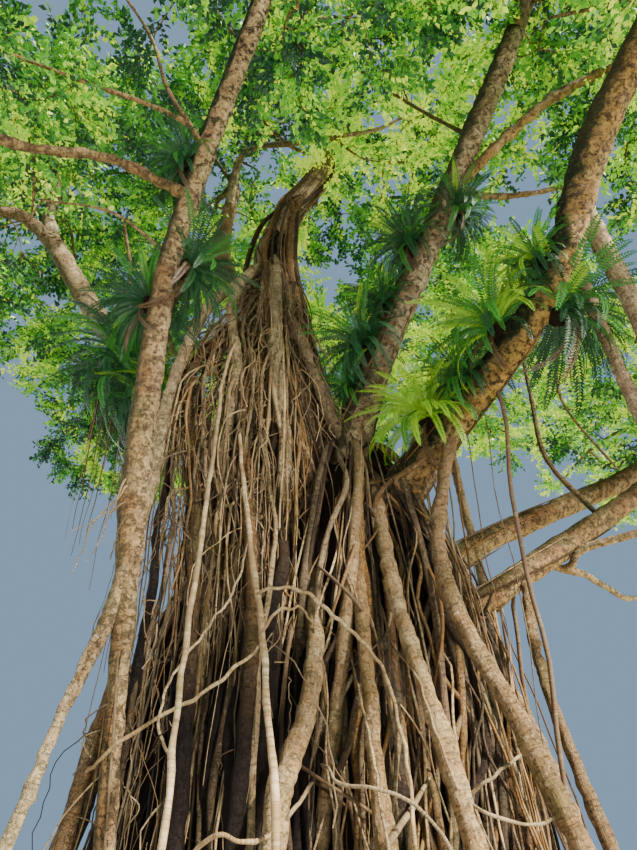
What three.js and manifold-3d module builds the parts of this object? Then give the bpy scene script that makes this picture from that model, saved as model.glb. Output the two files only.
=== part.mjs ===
// A banyan tree, in millimetres, +Z up, with its origin on the flat cut at ground level.
// The wood is a fluted trunk of fused roots, leaning boughs and the prop roots that run down to the
// ground. Each bough's tip carries a mass of foliage, and some boughs carry clumps of fern.

import * as THREE from "three";
import { mergeVertices } from "three/addons/utils/BufferGeometryUtils.js";
import Module from "manifold-3d";

const wasm = await Module();
wasm.setup();

// Driving sizes
const GAP = 0.3; // air between two pieces that touch on the real tree
const BELOW = 300; // how far a root is drawn under the ground before the flat cut
const FLUTE_DEPTH = 0.09; // share of a column's radius
const SKIRT_TOP = [4600, 4900]; // heights where the side and back roots leave the trunk, in turn
const SKIRT_REACH = 3000; // how far from the axis they stand on the ground
const SKIRT_DEPTH = 0.9; // depth of the skirt of roots, as a share of its width
const ROOT_RADIUS = 85;
const BOUGH_SIDES = 8;
const ROOT_SIDES = 5;
const LIMB_STEPS = 5; // lengths in each bough or root
const TWIGS = 6; // twigs in each mass, besides its stem
const TWIG_RADII = [47, 36]; // at its foot and its tip
const TWIG_SIDES = 3;
const TWIG_STEPS = 2;
const TWIG_REACH = [0.8, 0.6, 0.84]; // how far twigs reach, as shares of their mass's size
const TWIG_BOW = 0.14; // how far a twig bows, as a share of its length
const TURN_COST = 0.6; // how much further off a place counts that a twig would turn back from
const STEM_BEND = 0.45; // where a mass's stem bends, as a share of the way to the middle
const STEM_END = 0.75; // where it ends, as a share of the way from its bend to the middle
const STEM_WIDTHS = [0.75, 1.4]; // at its bend, as a share of its tip, and at its end, of a twig
const STEM_SIDES = 6;
const STEM_STEPS = 4;
const SPRAY_REACH = 1400; // from a spray's middle to its longest leaf's tip
const SPRAY_SCALES = [1, 0.8, 0.6]; // tried in turn until one fits
const SPRAY_TURN = 1.4; // angle between a twig and the spray at its bend
const SPRAY_THICKNESS = 48;
const SPRAY_DROOP = 0.16; // how far its tips hang, as a share of their reach
const SPRAY_LEAN = 1.1; // how far sprays lean out from the middle of their mass
const SPACE_GAP = 60; // between the spaces of two masses
const FRONDS = 18; // in each clump of fern
const FROND_REACH = 950;
const FERN_NOTCH = 210; // from a clump's middle to the notches between its fronds
const FERN_RISE = 0.9; // slope of the fronds that rise
const FERN_SEAT = 50; // how far its middle stands off its limb
const FERN_TILT = 0.6; // how far it leans out from its limb
const FERN_HEART = [35, -85]; // top and bottom of the heart that a clump's fronds grow from
const FROND_UNEVEN = 0.1; // steps in length from frond to frond, as a share
const GOLDEN_ANGLE = Math.PI * (3 - Math.sqrt(5));
const UP = new THREE.Vector3(0, 0, 1);

// Share of a spray's reach at each tip and notch of its rim, from its longest leaf round to its
// back, where it hangs on its twig.
const SPRAY_RIM = [1, 0.45, 0.9, 0.42, 0.72, 0.32, 0.3];
const SPRAY_HOLD = 0.22; // share of its reach between its middle and its twig

// Colours
const BARK = 0x9a8468;
const ROOT = 0xa98c66;
const CORE = 0x5d4a38;
const LEAF_GREEN = 0x6f9a2c;
const FERN_GREEN = 0x3f7a34;

// Columns of fused roots. Each ring is height, middle x and y, half width and half depth.
const COLUMNS = {
  trunk: {
    flutes: 9,
    rings: [
      [0, 0, 0, 2420, 2120],
      [900, 30, -20, 2170, 1830],
      [2500, 80, -50, 1980, 1600],
      [3900, 150, -100, 1640, 1330],
      [4900, 230, -150, 1220, 1000],
      [5700, 310, -200, 830, 700],
      [6300, 340, -240, 430, 380],
    ],
  },
  upper_column: {
    flutes: 4,
    rings: [
      [4000, -150, -250, 640, 520],
      [5800, -330, -400, 540, 430],
      [7200, -520, -520, 450, 370],
      [8500, -660, -560, 370, 310],
      [9700, -780, -520, 310, 270],
      [10700, -560, -490, 220, 210],
    ],
  },
};

// Upright limbs and boughs: route points, and radii spaced evenly along the route.
const BOUGHS = {
  middle_bough: {
    route: [[-720, -500, 10050], [-450, -490, 10800], [30, -460, 11700], [250, -420, 12600]],
    radii: [250, 225, 200, 175],
  },
  left_stem: {
    route: [
      [-1430, -2400, -BELOW], [-1720, -2300, 3000], [-1820, -2400, 5050], [-1620, -3000, 7050],
      [-660, -4300, 9800],
    ],
    radii: [95, 80, 150, 140, 125, 115],
  },
  tall_right_bough: {
    route: [[150, -300, 4700], [590, -800, 6350], [1840, -1500, 9400], [3250, -2500, 12700]],
    radii: [330, 215, 190, 165],
  },
  leaning_right_bough: {
    route: [
      [450, -350, 4500], [1500, -1050, 5650], [2660, -2600, 6850], [3200, -3550, 8300],
      [4000, -4700, 9700],
    ],
    radii: [330, 215, 205, 190, 170],
  },
  low_right_bough: {
    route: [[850, 50, 3100], [2250, -200, 4050], [4450, 100, 5500], [6000, 300, 6700]],
    radii: [260, 165, 140, 115],
  },
  low_right_back_bough: {
    route: [[500, 350, 3900], [2450, 650, 5050], [5000, 1000, 6300], [6200, 2200, 7500]],
    radii: [260, 165, 140, 115],
  },
  left_bough: {
    route: [
      [-300, 0, 4500], [-1100, 50, 5600], [-2350, 150, 7250], [-3750, 450, 8950], [-5200, 600, 11250],
    ],
    radii: [330, 240, 205, 190, 170],
  },
  left_bough_upright: {
    route: [[-5100, 590, 11050], [-5450, 700, 12000], [-5500, 750, 12700]],
    radii: [140, 120, 105],
  },
  left_bough_arm: {
    route: [[-5050, 580, 11000], [-5850, 350, 11650], [-6500, 150, 11500]],
    radii: [140, 115, 95],
  },
  back_upright_bough: {
    route: [[-620, -420, 8200], [-1550, 350, 9800], [-1880, 650, 11000], [-1850, 900, 12500]],
    radii: [210, 180, 160, 140],
  },
  back_right_bough: {
    route: [[350, 350, 4500], [1600, 1700, 6600], [3600, 3900, 9900]],
    radii: [300, 210, 150],
  },
  back_bough: {
    route: [[0, 350, 4700], [-150, 1900, 7100], [0, 4800, 10000]],
    radii: [300, 210, 150],
  },
  back_left_bough: {
    route: [[-400, 250, 4300], [-1500, 1700, 6500], [-3800, 4100, 9400]],
    radii: [300, 210, 150],
  },
  left_branch: {
    route: [[-1500, -3300, 7600], [-2300, -3600, 7800], [-3330, -3900, 7700], [-4300, -4250, 8250]],
    radii: [62, 56, 52, 48],
  },
  right_branch: {
    route: [[2150, -1680, 9900], [3550, -2350, 11000], [4900, -2800, 11500]],
    radii: [90, 75, 66],
  },
};

// Prop roots, from the wood that they leave down to the ground or to where they join again.
const ROOTS = {
  front_root_1: {
    route: [[1650, -1200, 5750], [1250, -1750, 3800], [1730, -2200, 2150], [2500, -2600, -BELOW]],
    radii: [75, 85, 100],
  },
  front_root_2: {
    route: [[700, -700, 5300], [780, -1800, 3400], [1030, -2250, 2100], [1500, -2600, -BELOW]],
    radii: [85, 80, 95],
  },
  front_root_3: {
    route: [[0, -700, 4900], [-80, -2000, 2500], [-300, -2500, 1700], [-350, -2750, -BELOW]],
    radii: [85, 90, 100],
  },
  front_root_4: {
    route: [[350, -700, 5100], [420, -1750, 3300], [500, -2350, 1500], [750, -2750, -BELOW]],
    radii: [65, 70, 80],
  },
  front_root_5: {
    route: [[2600, -150, 4350], [2350, -1000, 2800], [2900, -1700, -BELOW]],
    radii: [60, 60, 75],
  },
  hanging_root_1: {
    route: [
      [-850, -600, 9300], [-1600, -950, 8100], [-1950, -1050, 6600], [-1880, -1600, 5000],
      [-1770, -2300, 3600],
    ],
    radii: [75, 80, 85, 80],
  },
  hanging_root_2: {
    route: [
      [-750, -650, 8300], [-1700, -950, 7000], [-1430, -1300, 4900], [-1150, -2050, 2600],
      [-1050, -2300, -BELOW],
    ],
    radii: [65, 65, 70, 80],
  },
  hanging_root_3: {
    route: [
      [-800, -600, 9500], [-1260, -900, 8400], [-1080, -1100, 6500], [-1150, -1200, 5300],
      [-850, -850, 4200],
    ],
    radii: [75, 80, 80, 90],
  },
  hanging_root_4: {
    route: [
      [-620, -750, 7700], [-950, -1150, 6350], [-830, -1350, 4930], [-620, -1950, 3240],
      [-700, -2500, -BELOW],
    ],
    radii: [55, 60, 65, 80],
  },
  hanging_root_5: {
    route: [[-620, -700, 8600], [-250, -950, 7400], [20, -950, 6600], [450, -650, 5600]],
    radii: [80, 75, 80],
  },
  hanging_root_6: {
    route: [
      [-700, -750, 9200], [-640, -990, 8200], [-580, -1030, 6900], [-460, -1020, 5800],
      [-400, -900, 4700],
    ],
    radii: [95, 100, 105, 110],
  },
  left_leg_1: {
    route: [[-1740, -2320, 3400], [-1950, -2450, 2700], [-2150, -2600, 1700], [-2500, -2800, -BELOW]],
    radii: [60, 50, 65],
  },
  left_leg_2: {
    route: [[-1720, -2280, 2600], [-1930, -2150, 1700], [-2150, -2200, -BELOW]],
    radii: [70, 75, 95],
  },
  strangling_root_1: {
    route: [[2980, -3150, 7750], [3600, -2600, 6350], [4500, -1900, 3000], [4900, -1700, -BELOW]],
    radii: [110, 110, 95, 120],
  },
  strangling_root_2: {
    route: [[2850, -2900, 7300], [3300, -2350, 6100], [4150, -1650, 3000], [4500, -1450, -BELOW]],
    radii: [75, 80, 75, 95],
  },
  back_root_1: {
    route: [[2500, 2600, 7900], [2900, 2700, 4000], [3100, 2900, -BELOW]],
    radii: [80, 75, 110],
  },
  back_root_2: {
    route: [[-2100, 2300, 7200], [-2400, 2900, 3800], [-2600, 3200, -BELOW]],
    radii: [70, 65, 100],
  },
};

// Directions, in degrees from +X towards +Y, of the roots at the sides and back. Each bend is a
// share of their reach, a share of their height and a turn from their direction.
const SKIRT = {
  count: 4,
  first: -5,
  step: 60,
  bends: [[0.3, 1, 0.15], [0.68, 0.72, 0.08], [0.88, 0.35, -0.04]],
  widths: [0.9, 0.85, 1, 1.25],
};

// Each mass: the bough that carries it, the middle of its space, and its half width and half height.
const MASSES = {
  crown_top: { bough: "middle_bough", centre: [900, 300, 14000], size: [3500, 2700] },
  crown_back_top: { bough: "back_upright_bough", centre: [-2500, 2000, 14000], size: [3400, 2600] },
  crown_right_top: { bough: "tall_right_bough", centre: [4000, -2700, 13900], size: [3300, 2500] },
  crown_right_shoulder: { bough: "right_branch", centre: [6400, -2300, 11500], size: [3000, 2300] },
  crown_front: { bough: "left_stem", centre: [-900, -5000, 11500], size: [3500, 2400] },
  crown_right_front: { bough: "leaning_right_bough", centre: [4600, -5700, 10700], size: [3300, 2400] },
  crown_right: { bough: "low_right_bough", centre: [7200, 200, 8300], size: [3200, 2400] },
  crown_right_back: { bough: "low_right_back_bough", centre: [7000, 3900, 9300], size: [3300, 2600] },
  crown_back_right: { bough: "back_right_bough", centre: [3600, 4700, 12000], size: [3600, 2900] },
  crown_back: { bough: "back_bough", centre: [0, 6400, 11300], size: [3400, 2700] },
  crown_back_left: { bough: "back_left_bough", centre: [-4400, 5400, 10700], size: [3500, 2700] },
  crown_left_top: { bough: "left_bough_upright", centre: [-5200, 900, 13500], size: [3200, 2400] },
  crown_left: { bough: "left_bough_arm", centre: [-7300, 100, 10500], size: [3100, 2600] },
  crown_left_front: { bough: "left_branch", centre: [-5200, -4100, 9800], size: [3400, 2500] },
};

// Clumps of fern: the limb under each, how far along it, the side it sits on, its scale, and the
// slope of the fronds that fall.
const FERNS = {
  fern_1: { bough: "leaning_right_bough", share: 0.27, side: [-0.75, -0.3, 0.55], scale: 1, fall: 0.1 },
  fern_2: { bough: "leaning_right_bough", share: 0.42, side: [-0.8, -0.1, 0.6], scale: 1.05, fall: 0.1 },
  fern_3: { bough: "leaning_right_bough", share: 0.46, side: [0.9, -0.2, -0.1], scale: 1.15, fall: 0.45 },
  fern_4: { bough: "tall_right_bough", share: 0.43, side: [-0.95, -0.2, 0.2], scale: 0.95, fall: 0.3 },
  fern_5: { bough: "tall_right_bough", share: 0.6, side: [-0.9, -0.3, 0.3], scale: 0.85, fall: 0.3 },
  fern_6: { bough: "tall_right_bough", share: 0.66, side: [0.9, -0.2, 0.2], scale: 0.8, fall: 0.3 },
  fern_7: { bough: "left_stem", share: 0.73, side: [0.8, 0.5, 0.1], scale: 0.85, fall: 0.6 },
  fern_8: { bough: "left_bough", share: 0.62, side: [-0.3, -0.9, -0.2], scale: 1.4, fall: 1.2 },
};

const vector = (p) => new THREE.Vector3(...p);
const mix = (a, b, share) => a + (b - a) * share;

// The value at a share of the way along a list of values spaced evenly.
function along(values, share) {
  const place = share * (values.length - 1);
  const first = Math.min(Math.floor(place), values.length - 2);
  return mix(values[first], values[first + 1], place - first);
}

// A closed geometry as a solid that can be joined and cut.
function solidOf(geometry) {
  geometry.deleteAttribute("normal");
  geometry.deleteAttribute("uv");
  const merged = mergeVertices(geometry, 1e-3);
  return new wasm.Manifold(new wasm.Mesh({
    numProp: 3,
    vertProperties: new Float32Array(merged.attributes.position.array),
    triVerts: new Uint32Array(merged.index.array),
  }));
}

// A solid as a named mesh in its own flat-shaded material.
function nodeOf(name, solid, colour) {
  const { vertProperties, triVerts } = solid.getMesh();
  const indexed = new THREE.BufferGeometry()
    .setAttribute("position", new THREE.BufferAttribute(new Float32Array(vertProperties), 3))
    .setIndex(new THREE.BufferAttribute(new Uint32Array(triVerts), 1));
  const geometry = indexed.toNonIndexed();
  geometry.computeVertexNormals();
  const material = new THREE.MeshStandardMaterial({ color: colour, roughness: 0.85, metalness: 0 });
  const mesh = new THREE.Mesh(geometry, material);
  mesh.name = name;
  return mesh;
}

// Moves each vertex of a geometry to where place(x, y, z) puts it.
function reshape(geometry, place) {
  const at = geometry.attributes.position;
  for (let i = 0; i < at.count; i++) {
    const moved = place(at.getX(i), at.getY(i), at.getZ(i));
    at.setXYZ(i, moved.x, moved.y, moved.z);
  }
  return solidOf(geometry);
}

// A column of level rings with flutes down its sides. grow makes it fatter, to cut its neighbours.
function columnSolid({ flutes, rings }, grow = 0) {
  const steps = rings.length - 1;
  const geometry = new THREE.CylinderGeometry(1, 1, 1, 4 * flutes, steps);
  return reshape(geometry, (x, y, z) => {
    const share = y + 0.5;
    const [height, middleX, middleY, halfWidth, halfDepth] = rings[Math.round(share * steps)];
    const turn = Math.atan2(-z, x);
    const flute = 1 + FLUTE_DEPTH * Math.cos(flutes * turn + share);
    const width = halfWidth * flute + grow;
    const depth = halfDepth * flute + grow;
    return new THREE.Vector3(middleX + width * x, middleY - depth * z, height + grow * share);
  });
}

// A tapering limb along its route. grow makes it that much fatter and longer.
function limbSolid({ route, radii }, sides, steps, grow = 0) {
  const points = route.map(vector);
  if (grow > 0) {
    const last = points.length - 1;
    points[0].add(points[0].clone().sub(points[1]).setLength(grow));
    points[last].add(points[last].clone().sub(points[last - 1]).setLength(grow));
  }
  const curve = new THREE.CatmullRomCurve3(points);
  const frames = curve.computeFrenetFrames(steps, false);
  const geometry = new THREE.CylinderGeometry(1, 1, 1, sides, steps);
  return reshape(geometry, (x, y, z) => {
    const share = y + 0.5;
    const ring = Math.round(share * steps);
    const radius = along(radii, share) + grow;
    return curve
      .getPoint(share)
      .addScaledVector(frames.normals[ring], x * radius)
      .addScaledVector(frames.binormals[ring], -z * radius);
  });
}

// The largest body of a solid, for when a cut leaves a scrap behind.
function largest(solid) {
  return solid.decompose().reduce((a, b) => (b.volume() > a.volume() ? b : a));
}

function boxOf(solid) {
  const { min, max } = solid.boundingBox();
  return new THREE.Box3(vector(min), vector(max));
}

// Whether a small piece meets any of the wood.
function meets(piece, wood) {
  const box = boxOf(piece);
  return wood.some((limb) => box.intersectsBox(limb.box) && !piece.intersect(limb.fat).isEmpty());
}

// The side and back roots, spread round the trunk by a rule.
function skirtRoots() {
  const roots = {};
  for (let i = 0; i < SKIRT.count; i++) {
    const angle = THREE.MathUtils.degToRad(SKIRT.first + SKIRT.step * i);
    const top = SKIRT_TOP[i % SKIRT_TOP.length];
    const spot = (reach, height, turn) => [
      reach * SKIRT_REACH * Math.cos(angle + turn),
      SKIRT_DEPTH * reach * SKIRT_REACH * Math.sin(angle + turn),
      height,
    ];
    const bends = SKIRT.bends.map(([reach, height, turn]) => spot(reach, height * top, turn));
    roots["skirt_root_" + (i + 1)] = {
      route: [...bends, spot(1, -BELOW, 0)],
      radii: SKIRT.widths.map((share) => share * ROOT_RADIUS),
    };
  }
  return roots;
}

// Whether a point is inside a mass's own space: its rounded form, less what is nearer to another
// mass. margin keeps two spaces apart.
function insideSpace(mass, point, margin) {
  const centre = vector(mass.centre);
  const offset = point.clone().sub(centre);
  const [halfWidth, halfHeight] = mass.size;
  const flat = Math.hypot(offset.x, offset.y) / halfWidth;
  if (Math.hypot(flat, offset.z / halfHeight) > 1) return false;
  const power = (other) => point.distanceToSquared(vector(other.centre)) - other.size[0] ** 2;
  return Object.values(MASSES).every((other) => {
    const apart = centre.distanceTo(vector(other.centre));
    return other === mass || power(other) - power(mass) > 2 * margin * apart;
  });
}

// Where the twigs of a mass reach for: of many points spread by the golden angle, those that are in
// its space, thinned evenly to the number of twigs.
function reaches(mass, turn) {
  const { centre, size } = mass;
  const tried = 3 * TWIGS;
  const inside = Array.from({ length: tried }, (_, i) => {
    const height = 1 - (2 * (i + 0.5)) / tried;
    const angle = GOLDEN_ANGLE * i + turn;
    const reach = TWIG_REACH[i % 3];
    const flat = Math.sqrt(1 - height * height) * reach * size[0];
    const spot = [flat * Math.cos(angle), flat * Math.sin(angle), height * reach * size[1]];
    return vector(centre).add(vector(spot));
  }).filter((point) => insideSpace(mass, point, SPACE_GAP));
  const place = (i) => Math.floor((i * TWIGS) / inside.length);
  return inside.filter((_, i) => place(i + 1) > place(i));
}

// The stem and twigs of a mass. Each twig grows from the nearest place on what has grown so far,
// and a place that the twig would have to turn back from counts as further off.
function growTwigs(mass, start, direction, turn) {
  const centre = vector(mass.centre);
  const middle = start.clone().addScaledVector(direction, STEM_BEND * start.distanceTo(centre));
  const end = middle.clone().lerp(centre, STEM_END);
  const twigs = [[start, middle, end]];
  const places = [
    { at: middle, way: direction },
    { at: end, way: end.clone().sub(middle).normalize() },
  ];
  const targets = reaches(mass, turn);
  targets.sort((a, b) => a.distanceTo(start) - b.distanceTo(start));
  for (const target of targets) {
    const cost = ({ at, way }) => {
      const step = target.clone().sub(at);
      const length = step.length();
      return length * (1 + TURN_COST * (1 - step.normalize().dot(way)));
    };
    const from = places.reduce((a, b) => (cost(b) < cost(a) ? b : a));
    const bend = from.at.clone().lerp(target, 0.5);
    bend.addScaledVector(from.way, TWIG_BOW * from.at.distanceTo(target));
    twigs.push([from.at, bend, target]);
    const way = target.clone().sub(bend).normalize();
    places.push({ at: bend, way }, { at: target, way });
  }
  return twigs;
}

// How a spray lies: its normal leans up and out from the middle of its mass, like a tile on a dome,
// and way is the direction of its longest leaf. turned swings it round its normal.
function sprayFrame(mass, hold, along, turned) {
  const out = hold.clone().sub(vector(mass.centre));
  out.z = Math.max(out.z, 0);
  const normal = UP.clone().addScaledVector(out.normalize(), SPRAY_LEAN).normalize();
  const way = along.clone().addScaledVector(normal, -along.dot(normal)).normalize();
  way.applyAxisAngle(normal, turned);
  return { normal, way, side: normal.clone().cross(way) };
}

// A point of a spray's rim. x and z are the cosine and sine of its direction from its way.
function sprayPoint(middle, { normal, way, side }, reach, x, z) {
  return middle
    .clone()
    .addScaledVector(way, reach * x)
    .addScaledVector(side, -reach * z)
    .addScaledVector(normal, -SPRAY_DROOP * reach);
}

// A spray of leaves: a thin star of five leaves that droops a little from its middle.
function spraySolid(middle, frame, reach) {
  const half = SPRAY_RIM.length - 1;
  const geometry = new THREE.SphereGeometry(1, 2 * half, 2);
  return reshape(geometry, (x, y, z) => {
    if (Math.abs(y) > 0.5) return middle.clone().addScaledVector(frame.normal, (y * SPRAY_THICKNESS) / 2);
    const rim = Math.round((Math.abs(Math.atan2(z, x)) * half) / Math.PI);
    return sprayPoint(middle, frame, reach * SPRAY_RIM[rim], x, z);
  });
}

// Whether all the tips of a spray are in the mass's space.
function sprayFits(mass, middle, frame, reach) {
  const half = SPRAY_RIM.length - 1;
  return [0, 2, 4].every((rim) => {
    const angle = (rim * Math.PI) / half;
    return [-1, 1].every((hand) => {
      const length = reach * SPRAY_RIM[rim];
      const tip = sprayPoint(middle, frame, length, Math.cos(angle), hand * Math.sin(angle));
      return insideSpace(mass, tip, SPACE_GAP / 2);
    });
  });
}

// A mass of foliage: a stem that carries on from its bough's tip, its twigs, and sprays of leaves
// at the end and the bend of each twig. A spray that doesn't fit is made smaller, or skipped.
function massSolid(mass, tip, wood, turn) {
  const start = tip.at.clone().addScaledVector(tip.way, GAP);
  const pieces = [];
  const sprays = [];
  const addSpray = (hold, along, turned) => {
    const frame = sprayFrame(mass, hold, along, turned);
    for (const reach of SPRAY_SCALES.map((scale) => scale * SPRAY_REACH)) {
      const middle = sprayPoint(hold, frame, SPRAY_HOLD * reach, 1, 0);
      middle.addScaledVector(frame.normal, 2 * SPRAY_DROOP * SPRAY_HOLD * reach);
      if (!sprayFits(mass, middle, frame, reach)) continue;
      const spray = spraySolid(middle, frame, reach);
      if (meets(spray, wood) || meets(spray, sprays)) continue;
      pieces.push(spray);
      sprays.push({ fat: spray, box: boxOf(spray) });
      return;
    }
  };
  growTwigs(mass, start, tip.way, turn).forEach((points, index) => {
    const route = points.map((point) => point.toArray());
    if (index === 0) {
      const radii = [tip.radius, STEM_WIDTHS[0] * tip.radius, STEM_WIDTHS[1] * TWIG_RADII[1]];
      pieces.push(limbSolid({ route, radii }, STEM_SIDES, STEM_STEPS));
      return;
    }
    const twig = limbSolid({ route, radii: TWIG_RADII }, TWIG_SIDES, TWIG_STEPS);
    if (meets(twig, wood)) return;
    pieces.push(twig);
    const way = points[2].clone().sub(points[1]).normalize();
    addSpray(points[2], way, 0);
    addSpray(points[1], way, index % 2 ? SPRAY_TURN : -SPRAY_TURN);
  });
  return largest(wasm.Manifold.union(pieces));
}

// A clump of fern: a star of narrow fronds round a heart that is seated on its limb. Every other
// frond rises and the rest fall. One that would meet the wood is left out, down to its notch.
function fernSolid({ bough, share, side, scale, fall }, wood) {
  const { route, radii } = BOUGHS[bough];
  const out = vector(side).normalize();
  const heart = new THREE.CatmullRomCurve3(route.map(vector))
    .getPoint(share)
    .addScaledVector(out, along(radii, share) + FERN_SEAT * scale);
  const axis = UP.clone().addScaledVector(out, FERN_TILT).normalize();
  const first = new THREE.Vector3(0.3, 1, 0.1).cross(axis).normalize();
  const second = axis.clone().cross(first);
  const notch = scale * FERN_NOTCH;
  const rimPoint = (rim, length, x, z) => heart
    .clone()
    .addScaledVector(first, length * x)
    .addScaledVector(second, -length * z)
    .addScaledVector(axis, (length - notch) * (rim % 4 === 0 ? FERN_RISE : -fall));
  const reachOf = (rim) => (scale * FROND_REACH) / Math.hypot(1, rim % 4 === 0 ? FERN_RISE : fall);
  const clear = Array.from({ length: FRONDS }, (_, i) => {
    const angle = (2 * Math.PI * i) / FRONDS;
    const [x, z] = [Math.cos(angle), Math.sin(angle)];
    const spine = [notch, reachOf(2 * i)].map((length) => rimPoint(2 * i, length, x, z).toArray());
    return !meets(limbSolid({ route: spine, radii: [0.25 * notch, 10] }, 3, 1), wood);
  });
  const geometry = new THREE.SphereGeometry(1, 2 * FRONDS, 2);
  const solid = reshape(geometry, (x, y, z) => {
    if (Math.abs(y) > 0.5) return heart.clone().addScaledVector(axis, scale * FERN_HEART[y > 0 ? 0 : 1]);
    const rim = Math.round((Math.atan2(z, x) / Math.PI + 2) * FRONDS) % (2 * FRONDS);
    const open = rim % 2 === 0 && clear[rim / 2];
    return rimPoint(rim, open ? reachOf(rim) * (1 - FROND_UNEVEN * (rim % 3)) : notch, x, z);
  });
  return largest(wood.reduce((cut, limb) => cut.subtract(limb.fat), solid));
}

const tree = new THREE.Group();
const wood = []; // what later pieces are cut by or kept clear of

// Adds a piece of wood, cut flat at the ground and cut clear of the wood before it. fat is the same
// piece a gap larger, which cuts what comes after it.
function addWood(name, solid, fat, colour) {
  let cut = solid.trimByPlane([0, 0, 1], 0);
  for (const other of wood) cut = cut.subtract(other.fat);
  tree.add(nodeOf(name, largest(cut), colour));
  wood.push({ name, fat, box: boxOf(fat) });
}

function addLimbs(limbs, sides, colour) {
  for (const [name, limb] of Object.entries(limbs)) {
    const solid = limbSolid(limb, sides, LIMB_STEPS);
    const fat = limbSolid(limb, sides, LIMB_STEPS, GAP);
    addWood(name, solid, fat, colour);
  }
}

for (const [name, column] of Object.entries(COLUMNS)) {
  addWood(name, columnSolid(column), columnSolid(column, GAP), CORE);
}
addLimbs(BOUGHS, BOUGH_SIDES, BARK);
addLimbs({ ...ROOTS, ...skirtRoots() }, ROOT_SIDES, ROOT);
for (const [name, fern] of Object.entries(FERNS)) {
  const solid = fernSolid(fern, wood);
  tree.add(nodeOf(name, solid, FERN_GREEN));
  wood.push({ name, fat: solid, box: boxOf(solid) });
}
Object.entries(MASSES).forEach(([name, mass], index) => {
  const { route, radii } = BOUGHS[mass.bough];
  const curve = new THREE.CatmullRomCurve3(route.map(vector));
  const tip = { at: curve.getPoint(1), way: curve.getTangentAt(1), radius: radii[radii.length - 1] };
  tree.add(nodeOf(name, massSolid(mass, tip, wood, index), LEAF_GREEN));
});

export default tree;
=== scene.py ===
# %% [markdown]
# # A banyan tree
#
# A banyan is a fig that lets roots down from its boughs. The roots reach the ground, thicken, touch
# and grow together, so an old tree stands on a whole mass of fused roots with dark gaps between
# them. This notebook dresses the packed solids of such a tree: bark and roots with real relief,
# curtains of thin hanging roots, clumps of fern, and a crown of twigs and small leaves.
#
# Everything is in metres, with the ground at z = 0.

# %% Load the packed solids
import math

import bpy
import numpy as np
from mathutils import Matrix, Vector
from numpy.random import default_rng


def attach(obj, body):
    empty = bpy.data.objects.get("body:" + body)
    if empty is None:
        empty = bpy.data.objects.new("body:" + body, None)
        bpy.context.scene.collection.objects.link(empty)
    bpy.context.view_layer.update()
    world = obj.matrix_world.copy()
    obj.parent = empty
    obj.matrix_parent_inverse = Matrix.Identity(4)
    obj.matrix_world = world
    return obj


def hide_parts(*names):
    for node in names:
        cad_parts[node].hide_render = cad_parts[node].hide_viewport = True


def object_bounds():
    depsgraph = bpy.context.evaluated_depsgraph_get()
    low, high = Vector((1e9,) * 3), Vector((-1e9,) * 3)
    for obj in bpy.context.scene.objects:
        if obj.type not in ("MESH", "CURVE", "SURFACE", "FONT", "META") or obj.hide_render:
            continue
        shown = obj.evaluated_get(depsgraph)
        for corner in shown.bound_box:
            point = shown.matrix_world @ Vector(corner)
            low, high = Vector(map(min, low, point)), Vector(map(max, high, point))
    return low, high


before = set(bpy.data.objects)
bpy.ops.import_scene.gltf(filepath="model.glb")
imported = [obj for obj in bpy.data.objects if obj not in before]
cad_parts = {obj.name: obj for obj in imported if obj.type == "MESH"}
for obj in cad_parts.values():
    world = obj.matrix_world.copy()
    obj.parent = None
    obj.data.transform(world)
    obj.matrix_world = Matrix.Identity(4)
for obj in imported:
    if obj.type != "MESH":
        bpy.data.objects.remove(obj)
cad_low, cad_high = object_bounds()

print("solids:", len(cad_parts), "box:", tuple(cad_low), tuple(cad_high))

# %% [markdown]
# ## The plan of the tree
#
# The wood follows a few routes. Each is a short list of places, in millimetres, with radii spaced
# evenly along it. They are the routes of the packed solids, so whatever grows along them covers its
# solid. Written down once, they serve for bark, hanging roots, ferns and foliage alike.

# %% Columns and boughs
MILLIMETRE = 0.001
# How far the roots run on below the ground, where they are cut off flat.
BELOW = 300

# A column's number of flutes, then its height, middle and two half sizes at each level.
COLUMNS = {
    "trunk": (9, [
        [0, 0, 0, 2420, 2120], [900, 30, -20, 2170, 1830], [2500, 80, -50, 1980, 1600],
        [3900, 150, -100, 1640, 1330], [4900, 230, -150, 1220, 1000],
        [5700, 310, -200, 830, 700], [6300, 340, -240, 430, 380],
    ]),
    "upper_column": (4, [
        [4000, -150, -250, 640, 520], [5800, -330, -400, 540, 430],
        [7200, -520, -520, 450, 370], [8500, -660, -560, 370, 310],
        [9700, -780, -520, 310, 270], [10700, -560, -490, 220, 210],
    ]),
}

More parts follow.
